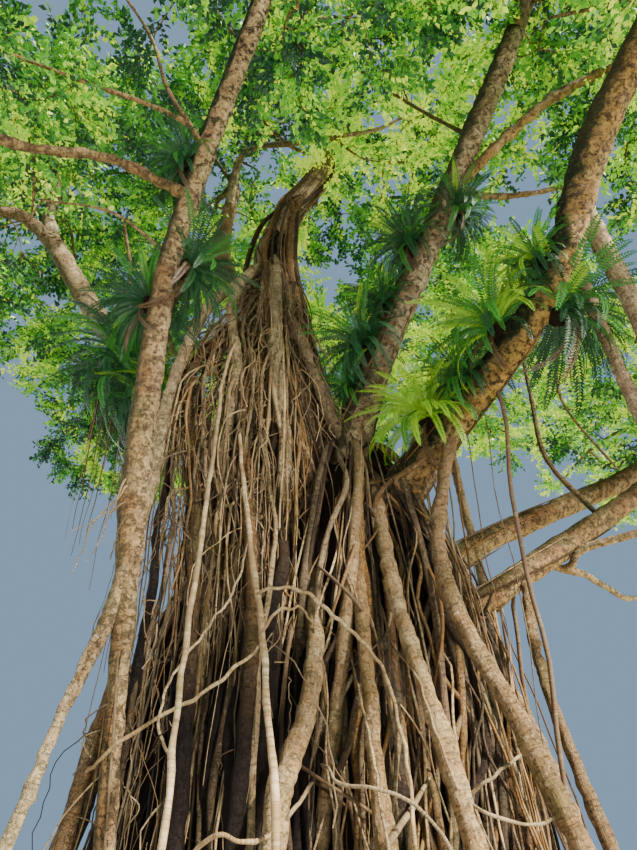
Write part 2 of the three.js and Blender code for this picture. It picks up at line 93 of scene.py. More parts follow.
BOUGHS = {
    "middle_bough": (
        [[-720, -500, 10050], [-450, -490, 10800], [30, -460, 11700], [250, -420, 12600]],
        [250, 225, 200, 175]),
    "left_stem": (
        [[-1430, -2400, -BELOW], [-1720, -2300, 3000], [-1820, -2400, 5050],
         [-1620, -3000, 7050], [-660, -4300, 9800]],
        [95, 80, 150, 140, 125, 115]),
    "tall_right_bough": (
        [[150, -300, 4700], [590, -800, 6350], [1840, -1500, 9400], [3250, -2500, 12700]],
        [330, 215, 190, 165]),
    "leaning_right_bough": (
        [[450, -350, 4500], [1500, -1050, 5650], [2660, -2600, 6850], [3200, -3550, 8300],
         [4000, -4700, 9700]],
        [330, 215, 205, 190, 170]),
    "low_right_bough": (
        [[850, 50, 3100], [2250, -200, 4050], [4450, 100, 5500], [6000, 300, 6700]],
        [260, 165, 140, 115]),
    "low_right_back_bough": (
        [[500, 350, 3900], [2450, 650, 5050], [5000, 1000, 6300], [6200, 2200, 7500]],
        [260, 165, 140, 115]),
    "left_bough": (
        [[-300, 0, 4500], [-1100, 50, 5600], [-2350, 150, 7250], [-3750, 450, 8950],
         [-5200, 600, 11250]],
        [330, 240, 205, 190, 170]),
    "left_bough_upright": (
        [[-5100, 590, 11050], [-5450, 700, 12000], [-5500, 750, 12700]],
        [140, 120, 105]),
    "left_bough_arm": (
        [[-5050, 580, 11000], [-5850, 350, 11650], [-6500, 150, 11500]],
        [140, 115, 95]),
    "back_upright_bough": (
        [[-620, -420, 8200], [-1550, 350, 9800], [-1880, 650, 11000], [-1850, 900, 12500]],
        [210, 180, 160, 140]),
    "back_right_bough": (
        [[350, 350, 4500], [1600, 1700, 6600], [3600, 3900, 9900]],
        [300, 210, 150]),
    "back_bough": ([[0, 350, 4700], [-150, 1900, 7100], [0, 4800, 10000]], [300, 210, 150]),
    "back_left_bough": (
        [[-400, 250, 4300], [-1500, 1700, 6500], [-3800, 4100, 9400]],
        [300, 210, 150]),
    "left_branch": (
        [[-1500, -3300, 7600], [-2300, -3600, 7800], [-3330, -3900, 7700],
         [-4300, -4250, 8250]],
        [62, 56, 52, 48]),
    "right_branch": (
        [[2150, -1680, 9900], [3550, -2350, 11000], [4900, -2800, 11500]],
        [90, 75, 66]),
}
print("boughs:", len(BOUGHS))

# %% Prop roots
ROOTS = {
    "front_root_1": (
        [[1650, -1200, 5750], [1250, -1750, 3800], [1730, -2200, 2150], [2500, -2600, -BELOW]],
        [75, 85, 100]),
    "front_root_2": (
        [[700, -700, 5300], [780, -1800, 3400], [1030, -2250, 2100], [1500, -2600, -BELOW]],
        [85, 80, 95]),
    "front_root_3": (
        [[0, -700, 4900], [-80, -2000, 2500], [-300, -2500, 1700], [-350, -2750, -BELOW]],
        [85, 90, 100]),
    "front_root_4": (
        [[350, -700, 5100], [420, -1750, 3300], [500, -2350, 1500], [750, -2750, -BELOW]],
        [65, 70, 80]),
    "front_root_5": (
        [[2600, -150, 4350], [2350, -1000, 2800], [2900, -1700, -BELOW]],
        [60, 60, 75]),
    "hanging_root_1": (
        [[-850, -600, 9300], [-1600, -950, 8100], [-1950, -1050, 6600], [-1880, -1600, 5000],
         [-1770, -2300, 3600]],
        [75, 80, 85, 80]),
    "hanging_root_2": (
        [[-750, -650, 8300], [-1700, -950, 7000], [-1430, -1300, 4900], [-1150, -2050, 2600],
         [-1050, -2300, -BELOW]],
        [65, 65, 70, 80]),
    "hanging_root_3": (
        [[-800, -600, 9500], [-1260, -900, 8400], [-1080, -1100, 6500], [-1150, -1200, 5300],
         [-850, -850, 4200]],
        [75, 80, 80, 90]),
    "hanging_root_4": (
        [[-620, -750, 7700], [-950, -1150, 6350], [-830, -1350, 4930], [-620, -1950, 3240],
         [-700, -2500, -BELOW]],
        [55, 60, 65, 80]),
    "hanging_root_5": (
        [[-620, -700, 8600], [-250, -950, 7400], [20, -950, 6600], [450, -650, 5600]],
        [80, 75, 80]),
    "hanging_root_6": (
        [[-700, -750, 9200], [-640, -990, 8200], [-580, -1030, 6900], [-460, -1020, 5800],
         [-400, -900, 4700]],
        [95, 100, 105, 110]),
    "left_leg_1": (
        [[-1740, -2320, 3400], [-1950, -2450, 2700], [-2150, -2600, 1700],
         [-2500, -2800, -BELOW]],
        [60, 50, 65]),
    "left_leg_2": (
        [[-1720, -2280, 2600], [-1930, -2150, 1700], [-2150, -2200, -BELOW]],
        [70, 75, 95]),
    "strangling_root_1": (
        [[2980, -3150, 7750], [3600, -2600, 6350], [4500, -1900, 3000], [4900, -1700, -BELOW]],
        [110, 110, 95, 120]),
    "strangling_root_2": (
        [[2850, -2900, 7300], [3300, -2350, 6100], [4150, -1650, 3000], [4500, -1450, -BELOW]],
        [75, 80, 75, 95]),
    "back_root_1": ([[2500, 2600, 7900], [2900, 2700, 4000], [3100, 2900, -BELOW]], [80, 75, 110]),
    "back_root_2": (
        [[-2100, 2300, 7200], [-2400, 2900, 3800], [-2600, 3200, -BELOW]],
        [70, 65, 100]),
}

# The skirt roots stand round the trunk. A bend is a share of the reach, a share of the height and a
# turn from the root's direction.
SKIRT_TOPS = [4600, 4900]
SKIRT_REACH = 3000
SKIRT_DEPTH = 0.9
SKIRT_DIRECTIONS = [-5, 55, 115, 175]
SKIRT_BENDS = [[0.3, 1, 0.15], [0.68, 0.72, 0.08], [0.88, 0.35, -0.04]]
SKIRT_RADII = [76, 72, 85, 106]

for index, direction in enumerate(SKIRT_DIRECTIONS):
    height = SKIRT_TOPS[index % 2]
    route = []
    for reach, share, turn in SKIRT_BENDS + [[1, -BELOW / height, 0]]:
        angle = math.radians(direction) + turn
        flat = reach * SKIRT_REACH
        route.append([flat * math.cos(angle), SKIRT_DEPTH * flat * math.sin(angle), share * height])
    ROOTS[f"skirt_root_{index + 1}"] = (route, SKIRT_RADII)

print("prop roots:", len(ROOTS))

# %% [markdown]
# ## Smooth curves through a few places
#
# Wood doesn't kink where a route has a point, so each route is read as a smooth curve. This is the
# centripetal Catmull-Rom curve: it passes through every point and doesn't swing out at close ones.
# It is written with NumPy arrays, because each limb needs a hundred or more places.

# %% Curves
LENGTH_STEPS = 40


def evenly(number):
    """Shares from 0 to 1, spaced evenly."""
    return np.linspace(0, 1, number)


def along(values, shares):
    """Values at shares of the way along a list."""
    return np.interp(shares, evenly(len(values)), values)


def curve(route, shares):
    """Places, in metres, at shares of the way along a route's smooth curve."""
    route = np.asarray(route, float) * MILLIMETRE
    spans = len(route) - 1
    padded = np.vstack([2 * route[0] - route[1], route, 2 * route[-1] - route[-2]])
    place = np.clip(shares, 0, 1) * spans
    first = np.minimum(place.astype(int), spans - 1)
    w = (place - first)[:, None]
    p0, p1, p2, p3 = (padded[first + k] for k in range(4))
    gap_1, gap_2, gap_3 = (
        np.sum((end - start) ** 2, axis=1)[:, None] ** 0.25
        for start, end in ((p0, p1), (p1, p2), (p2, p3))
    )
    way_in = ((p1 - p0) / gap_1 - (p2 - p0) / (gap_1 + gap_2) + (p2 - p1) / gap_2) * gap_2
    way_out = ((p2 - p1) / gap_2 - (p3 - p1) / (gap_2 + gap_3) + (p3 - p2) / gap_3) * gap_2
    bend = 3 * (p2 - p1) - 2 * way_in - way_out
    return p1 + way_in * w + bend * w**2 + (way_in + way_out - 2 * (p2 - p1)) * w**3


def route_length(route):
    """The length of the curve through a route, in metres."""
    rough = curve(route, evenly(LENGTH_STEPS))
    return np.linalg.norm(np.diff(rough, axis=0), axis=1).sum()


print("length of the left stem:", round(route_length(BOUGHS["left_stem"][0]), 2))

# %% Directions and lumps
TURN = 2 * math.pi
UP = np.array([0, 0, 1.0])
WAVES = 14
WAVE_SIZES = (0.7, 1.7)


def unit(vectors):
    """Vectors of length 1 in the same directions."""
    return vectors / np.linalg.norm(vectors, axis=-1, keepdims=True)


def around(number):
    """Angles spaced evenly round a circle."""
    return np.linspace(0, TURN, number, endpoint=False)


def outwards(turns):
    """Level directions of length 1 at some angles."""
    return np.stack([np.cos(turns), np.sin(turns), 0 * turns], axis=-1)


def lumps(places, size, seed):
    """Smooth bumps about `size` metres across, mostly from -1 to 1, as waves that run all ways."""
    rng = default_rng(seed)
    ways = unit(rng.normal(size=(WAVES, 3))) * (TURN / size)
    ways /= rng.uniform(*WAVE_SIZES, WAVES)[:, None]
    return np.sin(places @ ways.T + rng.uniform(0, TURN, WAVES)).sum(-1) / math.sqrt(WAVES)


def swollen(line, radii, amount, size, seed):
    """Radii that swell by an amount, in lumps of a size along a line."""
    return radii * (1 + amount * lumps(line, size, seed))


print("lumps at three places:", np.round(lumps(np.eye(3), 0.3, 0), 2))

# %% [markdown]
# ## Tubes that know their grain
#
# A limb, a root and a twig are all tubes. The rings of a tube are turned as little as possible from
# one to the next, so the tube doesn't twist, and each end closes on a pole. Two attributes go with
# each vertex for the materials to read. `grain` is a place on the tube as if it were straight: the
# first two numbers go round it and the third runs along it, so a ring mark or a fibre follows every
# bend and has no seam. `look` holds how warm, how pale and how mossy the wood is.
#
# Many tubes are gathered into one bundle, which becomes one mesh, so a curtain of a hundred roots
# is still a single piece.

# %% Tubes
def ring_directions(places, sides):
    """The directions outwards to the corners of each place's ring."""
    ways = unit(np.gradient(places, axis=0))
    start = unit(np.cross(ways[0], (0.31, 0.93, 0.17)))
    firsts = []
    for way in ways:
        start = start - way * start.dot(way)
        start /= math.sqrt(start.dot(start))
        firsts.append(start)
    firsts = np.array(firsts)
    seconds = np.cross(ways, firsts)
    turns = around(sides)[None, :, None]
    return firsts[:, None] * np.cos(turns) + seconds[:, None] * np.sin(turns)


def tube_faces(rings, sides):
    """Faces of a tube whose last two vertices are the poles of its first and last ring."""
    ring = np.arange(sides)
    following = (ring + 1) % sides
    starts = np.arange(rings - 1)[:, None] * sides
    walls = np.stack([
        starts + ring, starts + following, starts + sides + following, starts + sides + ring,
    ], axis=-1).reshape(-1, 4)
    foot = [[rings * sides, b, a] for a, b in zip(ring, following)]
    last = (rings - 1) * sides
    tip = [[rings * sides + 1, last + a, last + b] for a, b in zip(ring, following)]
    return walls, np.array(foot + tip)


print("faces of 4 rings of 6:", [len(faces) for faces in tube_faces(4, 6)])

# %% A bundle of tubes
# The second, finer lumps: their size and height as shares of the first.
FINE_LUMPS = (0.45, 0.6)
FINE_SEED = 50
# Thinner than this, a tube has less relief.
FULL_RELIEF_RADIUS = 0.05
# How far apart the grain of two tubes starts, so their marks differ.
GRAIN_GAP = 7.3


def set_attribute(mesh, title, values):
    """Gives each vertex a vector or a number, by what the values are."""
    whole = values.dtype.kind == "i"
    kind = "FLOAT_VECTOR" if values.ndim == 2 else "INT" if whole else "FLOAT"
    attribute = mesh.attributes.new(title, kind, "POINT")
    field = "vector" if values.ndim == 2 else "value"
    attribute.data.foreach_set(field, values.astype(np.int32 if whole else np.float32).ravel())


def in_scene(name, data):
    """A new object of the scene."""
    made = bpy.data.objects.new(name, data)
    bpy.context.scene.collection.objects.link(made)
    return made


class Bundle:
    """Tubes and other small meshes that become one piece."""

    def __init__(self):
        self.places = []
        self.grain = []
        self.look = []
        self.faces = []
        self.count = 0

    def add(self, places, grain, look, *faces):
        """Adds a mesh. Its look is one triple for the whole of it, or one for each vertex."""
        self.places.append(places)
        self.grain.append(grain)
        self.look.append(np.broadcast_to(look, (len(places), 3)))
        for group in faces:
            self.faces += (group + self.count).tolist()
        self.count += len(places)

    def tube(self, line, radii, sides, look, relief, lump=0.3, seed=0):
        """Adds a closed tube. relief is how far lumps about `lump` metres across stand out."""
        outward = ring_directions(line, sides)
        places = line[:, None] + outward * radii[:, None, None]
        flat = places.reshape(-1, 3)
        size, height = FINE_LUMPS
        finer = height * lumps(flat, size * lump, seed + FINE_SEED)
        rise = (relief * (lumps(flat, lump, seed) + finer)).reshape(places.shape[:2])
        share = np.minimum(1, radii / FULL_RELIEF_RADIUS)
        places = places + outward * (rise * share[:, None])[..., None]
        steps = np.linalg.norm(np.diff(line, axis=0), axis=1)
        travelled = np.concatenate([[0], np.cumsum(steps)]) + GRAIN_GAP * seed
        grain = outwards(around(sides)) * radii[:, None, None]
        grain[..., 2] = travelled[:, None]
        self.add(
            np.vstack([places.reshape(-1, 3), line[[0, -1]]]),
            np.vstack([grain.reshape(-1, 3), np.outer(travelled[[0, -1]], UP)]),
            look, *tube_faces(len(line), sides),
        )

    def piece(self, name, material):
        """Makes the mesh, cut off flat at the ground."""
        places = np.vstack(self.places)
        places[:, 2] = np.maximum(places[:, 2], 0)
        mesh = bpy.data.meshes.new(name)
        mesh.from_pydata(places.tolist(), [], self.faces)
        set_attribute(mesh, "grain", np.vstack(self.grain))
        set_attribute(mesh, "look", np.vstack(self.look))
        mesh.materials.append(material)
        mesh.shade_smooth()
        return in_scene(name, mesh)


def dress(piece, slot, *nodes):
    """Fixes a finished piece to the tree. It stands for the nodes. The slot is not used."""
    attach(piece, "root")
    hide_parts(*nodes)
    print(piece.name, len(piece.data.loops) - 2 * len(piece.data.polygons), "triangles")


print("a bundle has:", list(vars(Bundle())))

# %% [markdown]
# ## Shader maths as Python
#
# Bark is a recipe of masks, and a recipe is easier to read as sums and products than as boxes and
# wires. `Value` wraps one socket and adds a Math node for each operator. `Finish` holds one
# material and has a method for each other kind of node.

# %% Materials as expressions
class Value:
    """A number over the surface, for sums and products as with plain numbers."""

    def __init__(self, tree, socket):
        self.tree = tree
        self.socket = socket

    def maths(self, operation, first, second):
        inputs = {0: first, 1: second}
        node = add_node(self.tree, "ShaderNodeMath", inputs, operation=operation)
        return Value(self.tree, node.outputs[0])

    def __add__(self, other):
        return self.maths("ADD", self, other)

    def __sub__(self, other):
        return self.maths("SUBTRACT", self, other)

    def __rsub__(self, other):
        return self.maths("SUBTRACT", other, self)

    def __mul__(self, other):
        return self.maths("MULTIPLY", self, other)

    __radd__ = __add__
    __rmul__ = __mul__


def connect(tree, socket, value):
    """Links a Value or an output to a socket, or sets the socket."""
    value = getattr(value, "socket", value)
    if isinstance(value, bpy.types.NodeSocket):
        tree.links.new(value, socket)
    else:
        socket.default_value = value


def add_node(tree, kind, inputs, **settings):
    """Adds a node to a tree, with its settings and then its sockets."""
    node = tree.nodes.new(kind)
    for name, value in settings.items():
        setattr(node, name, value)
    for name, value in inputs.items():
        connect(tree, node.inputs[name], value)
    return node


print("a value's methods:", len(vars(Value)))

# %% One material and its kinds of node
class Finish:
    """A material under one Principled shader."""

    def __init__(self, name):
        self.material = bpy.data.materials.new(name)
        self.material.use_nodes = True
        self.tree = self.material.node_tree
        self.shader = self.tree.nodes["Principled BSDF"]

    def node(self, kind, inputs, output=0, **settings):
        node = add_node(self.tree, kind, inputs, **settings)
        return Value(self.tree, node.outputs[output])

    def attribute(self, name):
        return self.node("ShaderNodeAttribute", {}, "Vector", attribute_name=name)

    def place(self):
        return self.node("ShaderNodeTexCoord", {}, "Object")

    def noise(self, vector, scale, detail, roughness):
        """Noise of one scale, or stretched by a scale for each direction."""
        if isinstance(scale, tuple):
            inputs = {0: vector, 1: scale}
            vector = self.node("ShaderNodeVectorMath", inputs, operation="MULTIPLY")
            scale = 1.0
        inputs = {"Vector": vector, "Scale": scale, "Detail": detail, "Roughness": roughness}
        return self.node("ShaderNodeTexNoise", inputs)

    def ramp(self, value, low, high):
        """0 below low, 1 above high, and smooth between."""
        inputs = {0: value, 1: low, 2: high}
        return self.node("ShaderNodeMapRange", inputs, interpolation_type="SMOOTHSTEP")

    def mask(self, vector, scale, detail, roughness, low, high):
        """Blotches: noise with a ramp over it."""
        return self.ramp(self.noise(vector, scale, detail, roughness), low, high)

    def parts(self, vector):
        return [self.node("ShaderNodeSeparateXYZ", {0: vector}, k) for k in range(3)]

    def blend(self, share, first, second):
        """Runs from the first colour to the second as share goes from 0 to 1."""
        first, second = (opaque(colour) for colour in (first, second))
        return self.node("ShaderNodeMix", {0: share, 6: first, 7: second}, 2, data_type="RGBA")

    def bump(self, height, distance):
        inputs = {"Height": height, "Distance": distance, "Strength": 1.0}
        return self.node("ShaderNodeBump", inputs)

    def surface(self, **values):
        """Sets the shader's own sockets and returns the material."""
        for name, value in values.items():
            connect(self.tree, self.shader.inputs[name.replace("_", " ")], value)
        return self.material


def opaque(colour):
    """A plain colour with its fourth number, or a Value as it is."""
    return (*colour, 1) if isinstance(colour, tuple) else colour


print("kinds of node:", [name for name in vars(Finish) if name[0] != "_"])

# %% [markdown]
# ## Bark
#
# Fig bark is smooth and thin, so its character is colour. Ochre and cream show where it is dry,
# olive where algae grow, almost black where moss and rotted leaves gather, and fine dark flecks lie
# over it all. Noise of several sizes makes a mask for each, and the limb's own warmth, paleness and
# moss come from `look`. The normal steers the rest, and paints light and shade: a painted highlight
# of cream on what faces the sun, painted shade in olive on what faces away from it, and painted
# light in ochre under warm bark, as if thrown back off the leaves. Moss gathers on what faces up,
# and also on what faces away from the sun, where it is painted shade. The rings that run round a
# limb follow `grain`, and are faint.

# %% Bark finish
def bark_finish():
    bark = Finish("fig_bark")
    grain = bark.attribute("grain")
    place = bark.place()
    warm, pale, moss = bark.parts(bark.attribute("look"))
    towards_sun, _, upward = bark.parts(bark.node("ShaderNodeNewGeometry", {}, "Normal"))
    fine = bark.noise(grain, (30, 30, 30), 6.0, 0.7)
    patches = bark.mask(place, 2.2, 6.0, 0.65, 0.4, 0.62)
    algae = bark.mask(place, 1.1, 5.0, 0.62, 0.46, 0.66)
    flecks = bark.mask(place, 13.0, 7.0, 0.76, 0.5, 0.6)
    specks = bark.mask(grain, (26, 26, 34), 3.0, 0.7, 0.52, 0.66)
    rings = bark.mask(grain, (4, 4, 30), 5.0, 0.65, 0.56, 0.7)
    # Painted shade: olive on the side that faces away from the sun.
    away = bark.ramp(towards_sun, 0.1, -0.9)
    # Painted highlight: cream on the side that faces the sun.
    painted_sun_highlight = bark.ramp(towards_sun, 0.2, 0.95)

    brown = bark.blend(fine, (0.05, 0.028, 0.014), (0.26, 0.15, 0.07))
    orange = bark.blend(patches, (0.22, 0.085, 0.012), (0.5, 0.27, 0.04))
    cream = bark.blend(fine, (0.36, 0.25, 0.13), (0.92, 0.74, 0.46))
    warmed = bark.blend(warm * bark.ramp(fine, 0.3, 0.62), brown, orange)
    paled = bark.blend(pale * (0.22 + 0.7 * patches) + 0.25 * painted_sun_highlight, warmed, cream)
    # Painted light: ochre under warm bark, as if thrown back off the leaves.
    below = bark.ramp(upward, -0.25, -0.95)
    dry = bark.blend(below * warm * 0.5, paled, (0.62, 0.38, 0.055))
    # Olive where algae grow, and painted shade in olive on the side away from the sun.
    green = bark.blend(algae * 0.45 + away * 0.45, dry, (0.125, 0.115, 0.028))
    flecked = bark.blend(flecks * (0.36 + 0.55 * moss), green, (0.026, 0.014, 0.009))
    specked = bark.blend(specks * 0.5, flecked, (0.05, 0.028, 0.017))
    ringed = bark.blend(rings * 0.4, specked, (0.05, 0.03, 0.018))
    dark = bark.blend(flecks, (0.012, 0.016, 0.007), (0.075, 0.085, 0.02))
    # Moss gathers on what faces up; its lean away from the sun is painted shade.
    moss_and_painted_shade = 0.75 * upward - 0.65 * towards_sun + 0.6 * patches
    mossy = moss * bark.ramp(moss_and_painted_shade, 0.15, 0.65)
    height = fine * 0.6 + patches * 0.25 - flecks * 0.4 - specks * 0.3 - rings * 0.3 + mossy * 0.5
    return bark.surface(
        Base_Color=bark.blend(mossy, ringed, dark),
        Roughness=0.74 + 0.2 * mossy,
        Specular_IOR_Level=0.3,
        Normal=bark.bump(height, 0.035),
    )


BARK = bark_finish()
print("bark nodes:", len(BARK.node_tree.nodes))

# %% [markdown]
# ## Roots
#
# Hanging roots are brown, ochre, pinkish and grey, side by side. Fibres run along them, with rings
# that split the skin here and there. The `look` of each root picks its colour, and its third
# number darkens the wet and shaded roots that lie deep in the mass, as painted shade. Low down, on
# the side away from the sun, a painted shade darkens all but the palest roots.

# %% Root finish
def root_finish():
    root = Finish("root_skin")
    grain = root.attribute("grain")
    place = root.place()
    across, _, height = root.parts(place)
    warm, pale, deep = root.parts(root.attribute("look"))
    # Painted shade: low down, on the side away from the sun, all but the palest roots get darker.
    painted_low_shade = root.ramp(across, 1.0, -0.8) * root.ramp(height, 4.2, 1.8) * root.ramp(pale, 0.8, 0.45)
    fibres = root.noise(grain, (60, 60, 6), 5.0, 0.65)
    rings = root.mask(grain, (5, 5, 48), 4.0, 0.6, 0.56, 0.7)
    blotches = root.mask(place, 4.5, 6.0, 0.68, 0.42, 0.64)
    algae = root.mask(place, 1.3, 4.0, 0.6, 0.5, 0.68)
    flakes = root.mask(grain, (22, 22, 15), 5.0, 0.72, 0.5, 0.62)
    marks = root.mask(grain, (22, 22, 30), 4.0, 0.7, 0.54, 0.66)

    grey = root.blend(fibres, (0.055, 0.032, 0.019), (0.25, 0.16, 0.095))
    ochre = root.blend(fibres, (0.09, 0.038, 0.011), (0.38, 0.2, 0.058))
    cream = root.blend(fibres, (0.35, 0.24, 0.115), (0.88, 0.69, 0.41))
    base = root.blend(root.ramp(warm, 0.25, 0.75), grey, ochre)
    dry = root.blend(root.ramp(pale, 0.35, 1.0) * (0.35 + 0.65 * blotches), base, cream)
    flaked = root.blend(flakes * (0.25 + 0.45 * pale), dry, cream)
    green = root.blend(algae * 0.45, flaked, (0.12, 0.115, 0.03))
    marked = root.blend(marks * 0.45, green, (0.04, 0.023, 0.015))
    split = root.blend(rings * 0.4, marked, (0.035, 0.02, 0.013))
    return root.surface(
        Base_Color=root.blend(deep + 0.75 * painted_low_shade, split, (0.012, 0.007, 0.005)),
        Roughness=0.85,
        Specular_IOR_Level=0.2,
        Normal=root.bump(fibres * 0.6 + flakes * 0.5 - marks * 0.5 - rings * 0.4, 0.024),
    )


ROOT_SKIN = root_finish()


def root_look(rng, deepest):
    """A colour for a root: warmth, paleness, and darkness, which is mostly none or `deepest`."""
    warm, pale, shade = rng.uniform(0, 1, 3)
    return (warm, pale, deepest * min(1, max(0, 2.5 * shade - 0.9)))


print("root nodes:", len(ROOT_SKIN.node_tree.nodes))

# %% [markdown]
# ## The dark heart of the root mass
#
# Between the outer roots the mass is all shadow, rotted leaves and old roots. It is a fluted column
# that keeps just inside the solid trunk. Its surface is lumpy, and its finish is almost black, so
# it reads as depth between the roots that run over it.

# %% Heart finish
def heart_finish():
    heart = Finish("shaded_heart")
    place = heart.place()
    strands = heart.noise(place, (16, 16, 1.5), 5.0, 0.6)
    earth = heart.mask(place, 5.0, 4.0, 0.55, 0.4, 0.65)
    dark = heart.blend(strands, (0.005, 0.003, 0.002), (0.035, 0.021, 0.012))
    return heart.surface(
        Base_Color=heart.blend(earth * 0.5, dark, (0.016, 0.011, 0.006)),
        Roughness=0.95,
        Specular_IOR_Level=0.1,
        Normal=heart.bump(strands, 0.05),
    )


HEART = heart_finish()
print("heart nodes:", len(HEART.node_tree.nodes))

# %% Places on the side of a column
FLUTE_DEPTH = 0.09


def column_rings(column, heights):
    """The middle and half sizes of a column at some heights."""
    rings = np.array(column[1]) * MILLIMETRE
    return [np.interp(heights, rings[:, 0], rings[:, k]) for k in range(1, 5)]


def column_ends(column):
    """The heights of a column's foot and top, in metres."""
    return column[1][0][0] * MILLIMETRE, column[1][-1][0] * MILLIMETRE


def column_place(column, heights, turns, inset=0.0):
    """Places on the side of a fluted column, moved in from it by inset metres."""
    middle_x, middle_y, half_width, half_depth = column_rings(column, heights)
    bottom, top = column_ends(column)
    flute = 1 + FLUTE_DEPTH * np.cos(column[0] * turns + (heights - bottom) / (top - bottom))
    return np.stack([
        middle_x + (half_width * flute - inset) * np.cos(turns),
        middle_y + (half_depth * flute - inset) * np.sin(turns),
        heights,
    ], axis=-1)


print("trunk's half sizes 1 m up:", np.round(column_rings(COLUMNS["trunk"], 1.0)[2:], 2))

# %% Trunk heart and upper heart
HEART_SIDES = 108
HEART_STEP = 0.07
HEART_INSETS = {"trunk": 0.15, "upper_column": 0.11}
# How far old roots and clods stand out in it.
OLD_ROOTS = 0.035
CLODS = 0.03


def heart_piece(name, node):
    """The lumpy dark column that keeps just inside a node."""
    column = COLUMNS[node]
    bottom, top = column_ends(column)
    rings = int((top - bottom) / HEART_STEP)
    heights = np.repeat(np.linspace(bottom, top, rings), HEART_SIDES)
    turns = np.tile(around(HEART_SIDES), rings)
    places = column_place(column, heights, turns, HEART_INSETS[node])
    push = OLD_ROOTS * lumps(places * (1, 1, 0.2), 0.28, 3) + CLODS * lumps(places, 0.5, 4)
    places += push[:, None] * outwards(turns)
    every = np.vstack([places, places[:HEART_SIDES].mean(0), places[-HEART_SIDES:].mean(0)])
    bundle = Bundle()
    bundle.add(every, every, (0, 0, 0), *tube_faces(rings, HEART_SIDES))
    dress(bundle.piece(name, HEART), "root_wood", node)


heart_piece("trunk_heart", "trunk")
heart_piece("upper_heart", "upper_column")

# %% [markdown]
# ## Boughs
#
# Each bough is one tapering tube of bark along its route. A ring every six centimetres and lumps of
# three sizes give it the swellings of old wood. Every bough has its own look, read off the real
# tree: the left stem is ochre, the tall bough cream, the leaning one orange below, partly as
# painted light thrown back off the leaves, and black with moss on top.

# %% Looks of the boughs: how warm, how pale, how mossy
BOUGH_LOOKS = {
    "left_stem": [(1.0, 0.38, 0.2), (1.0, 0.46, 0.4), (0.5, 0.5, 1.2)],
    "tall_right_bough": [(0.3, 1.0, 0.6), (0.35, 0.9, 0.9)],
    "leaning_right_bough": [(0.8, 0.5, 0.9), (1.0, 0.3, 1.1), (0.9, 0.15, 0.7)],
    "low_right_bough": [(0.95, 0.4, 0.55)],
    "low_right_back_bough": [(0.9, 0.4, 0.55)],
    "left_bough": [(0.4, 1.0, 0.1)],
    "left_bough_upright": [(0.3, 0.95, 0.1)],
    "left_bough_arm": [(0.3, 0.7, 0.4)],
    "back_upright_bough": [(1.0, 0.45, 0.3)],
    "middle_bough": [(0.6, 0.85, 0.3)],
    "left_branch": [(0.3, 0.15, 0.3)],
    "right_branch": [(0.8, 0.3, 0.4)],
}
PLAIN_LOOK = (0.45, 0.3, 0.5)

# %% Boughs
RING_STEP = 0.06
FEWEST_RINGS = 8
THICK = 100
THICK_SIDES = 28
THIN_SIDES = 14
# How much a radius swells, over how many metres.
BOUGH_SWELL = (0.035, 1.3)
BOUGH_LUMP = 0.24
RELIEF = 0.012
SMOOTH_RELIEF = {"left_stem": 0.006, "low_right_bough": 0.008, "low_right_back_bough": 0.008}


def limb_line(route, radii, step=RING_STEP):
    """Places and radii along a limb, about step metres apart."""
    shares = evenly(max(FEWEST_RINGS, int(route_length(route) / step)))
    return curve(route, shares), along(radii, shares) * MILLIMETRE


boughs = Bundle()
for index, (name, (route, radii)) in enumerate(BOUGHS.items()):
    line, widths = limb_line(route, radii)
    sides = THICK_SIDES if max(radii) > THICK else THIN_SIDES
    looks = np.array(BOUGH_LOOKS.get(name, [PLAIN_LOOK]))
    look = np.stack([along(looks[:, k], evenly(len(line))) for k in range(3)], axis=-1)
    look = np.vstack([np.repeat(look, sides, axis=0), look[[0, -1]]])
    relief = SMOOTH_RELIEF.get(name, RELIEF)
    widths = swollen(line, widths, *BOUGH_SWELL, index)
    boughs.tube(line, widths, sides, look, relief, BOUGH_LUMP, index)
print("vertices of the boughs:", boughs.count)

# %% [markdown]
# Thin side branches cross the picture between the boughs. They are too thin for solids, so they are
# added to the same piece. Each starts inside the limb that carries it. A short dead one ends free.

# %% Side branches
SIDE_BRANCHES = [
    ([[-1310, -3500, 8100], [-1420, -3850, 8050], [-2596, -4100, 8466], [-3442, -4300, 8691]],
     [34, 26, 16]),
    ([[-1310, -3500, 8150], [-1400, -3850, 8050], [-1697, -3900, 8617], [-2016, -4000, 9601],
      [-2450, -4200, 10300]], [30, 24, 14]),
    ([[-5480, 740, 12600], [-5300, 300, 13300], [-5050, -50, 13900], [-4820, -400, 14300]],
     [105, 90, 70, 45]),
    ([[-1629, 620, 13640], [-1249, 400, 13006], [-1370, 300, 12400]], [24, 19, 10]),
    ([[2450, -1900, 10700], [1700, -1500, 12200], [750, -1400, 13600], [-150, -1500, 14900]],
     [34, 28, 18]),
    ([[2050, -1650, 9900], [2700, -1300, 10100], [3500, -1200, 10300], [4300, -1000, 10800]],
     [60, 48, 34]),
    ([[3650, -4150, 9000], [4300, -4000, 9400], [5200, -3700, 9900]], [55, 44, 30]),
    ([[2950, -3000, 7200], [3250, -1400, 7300], [3600, -200, 6900], [4300, 100, 5900]],
     [26, 22, 18]),
    ([[3850, 60, 5150], [3300, 100, 6100], [3150, -200, 6900], [3000, -600, 7900]],
     [40, 32, 22]),
    ([[4600, 110, 5560], [4900, 200, 6500], [5400, 100, 7200], [5500, -100, 8100]],
     [55, 42, 28]),
    ([[-3700, 450, 8850], [-3300, 100, 9600], [-3400, -400, 10500]], [50, 38, 24]),
    ([[-1640, -2950, 6950], [-2300, -3200, 7400], [-3100, -3300, 7500]], [22, 16, 10]),
]
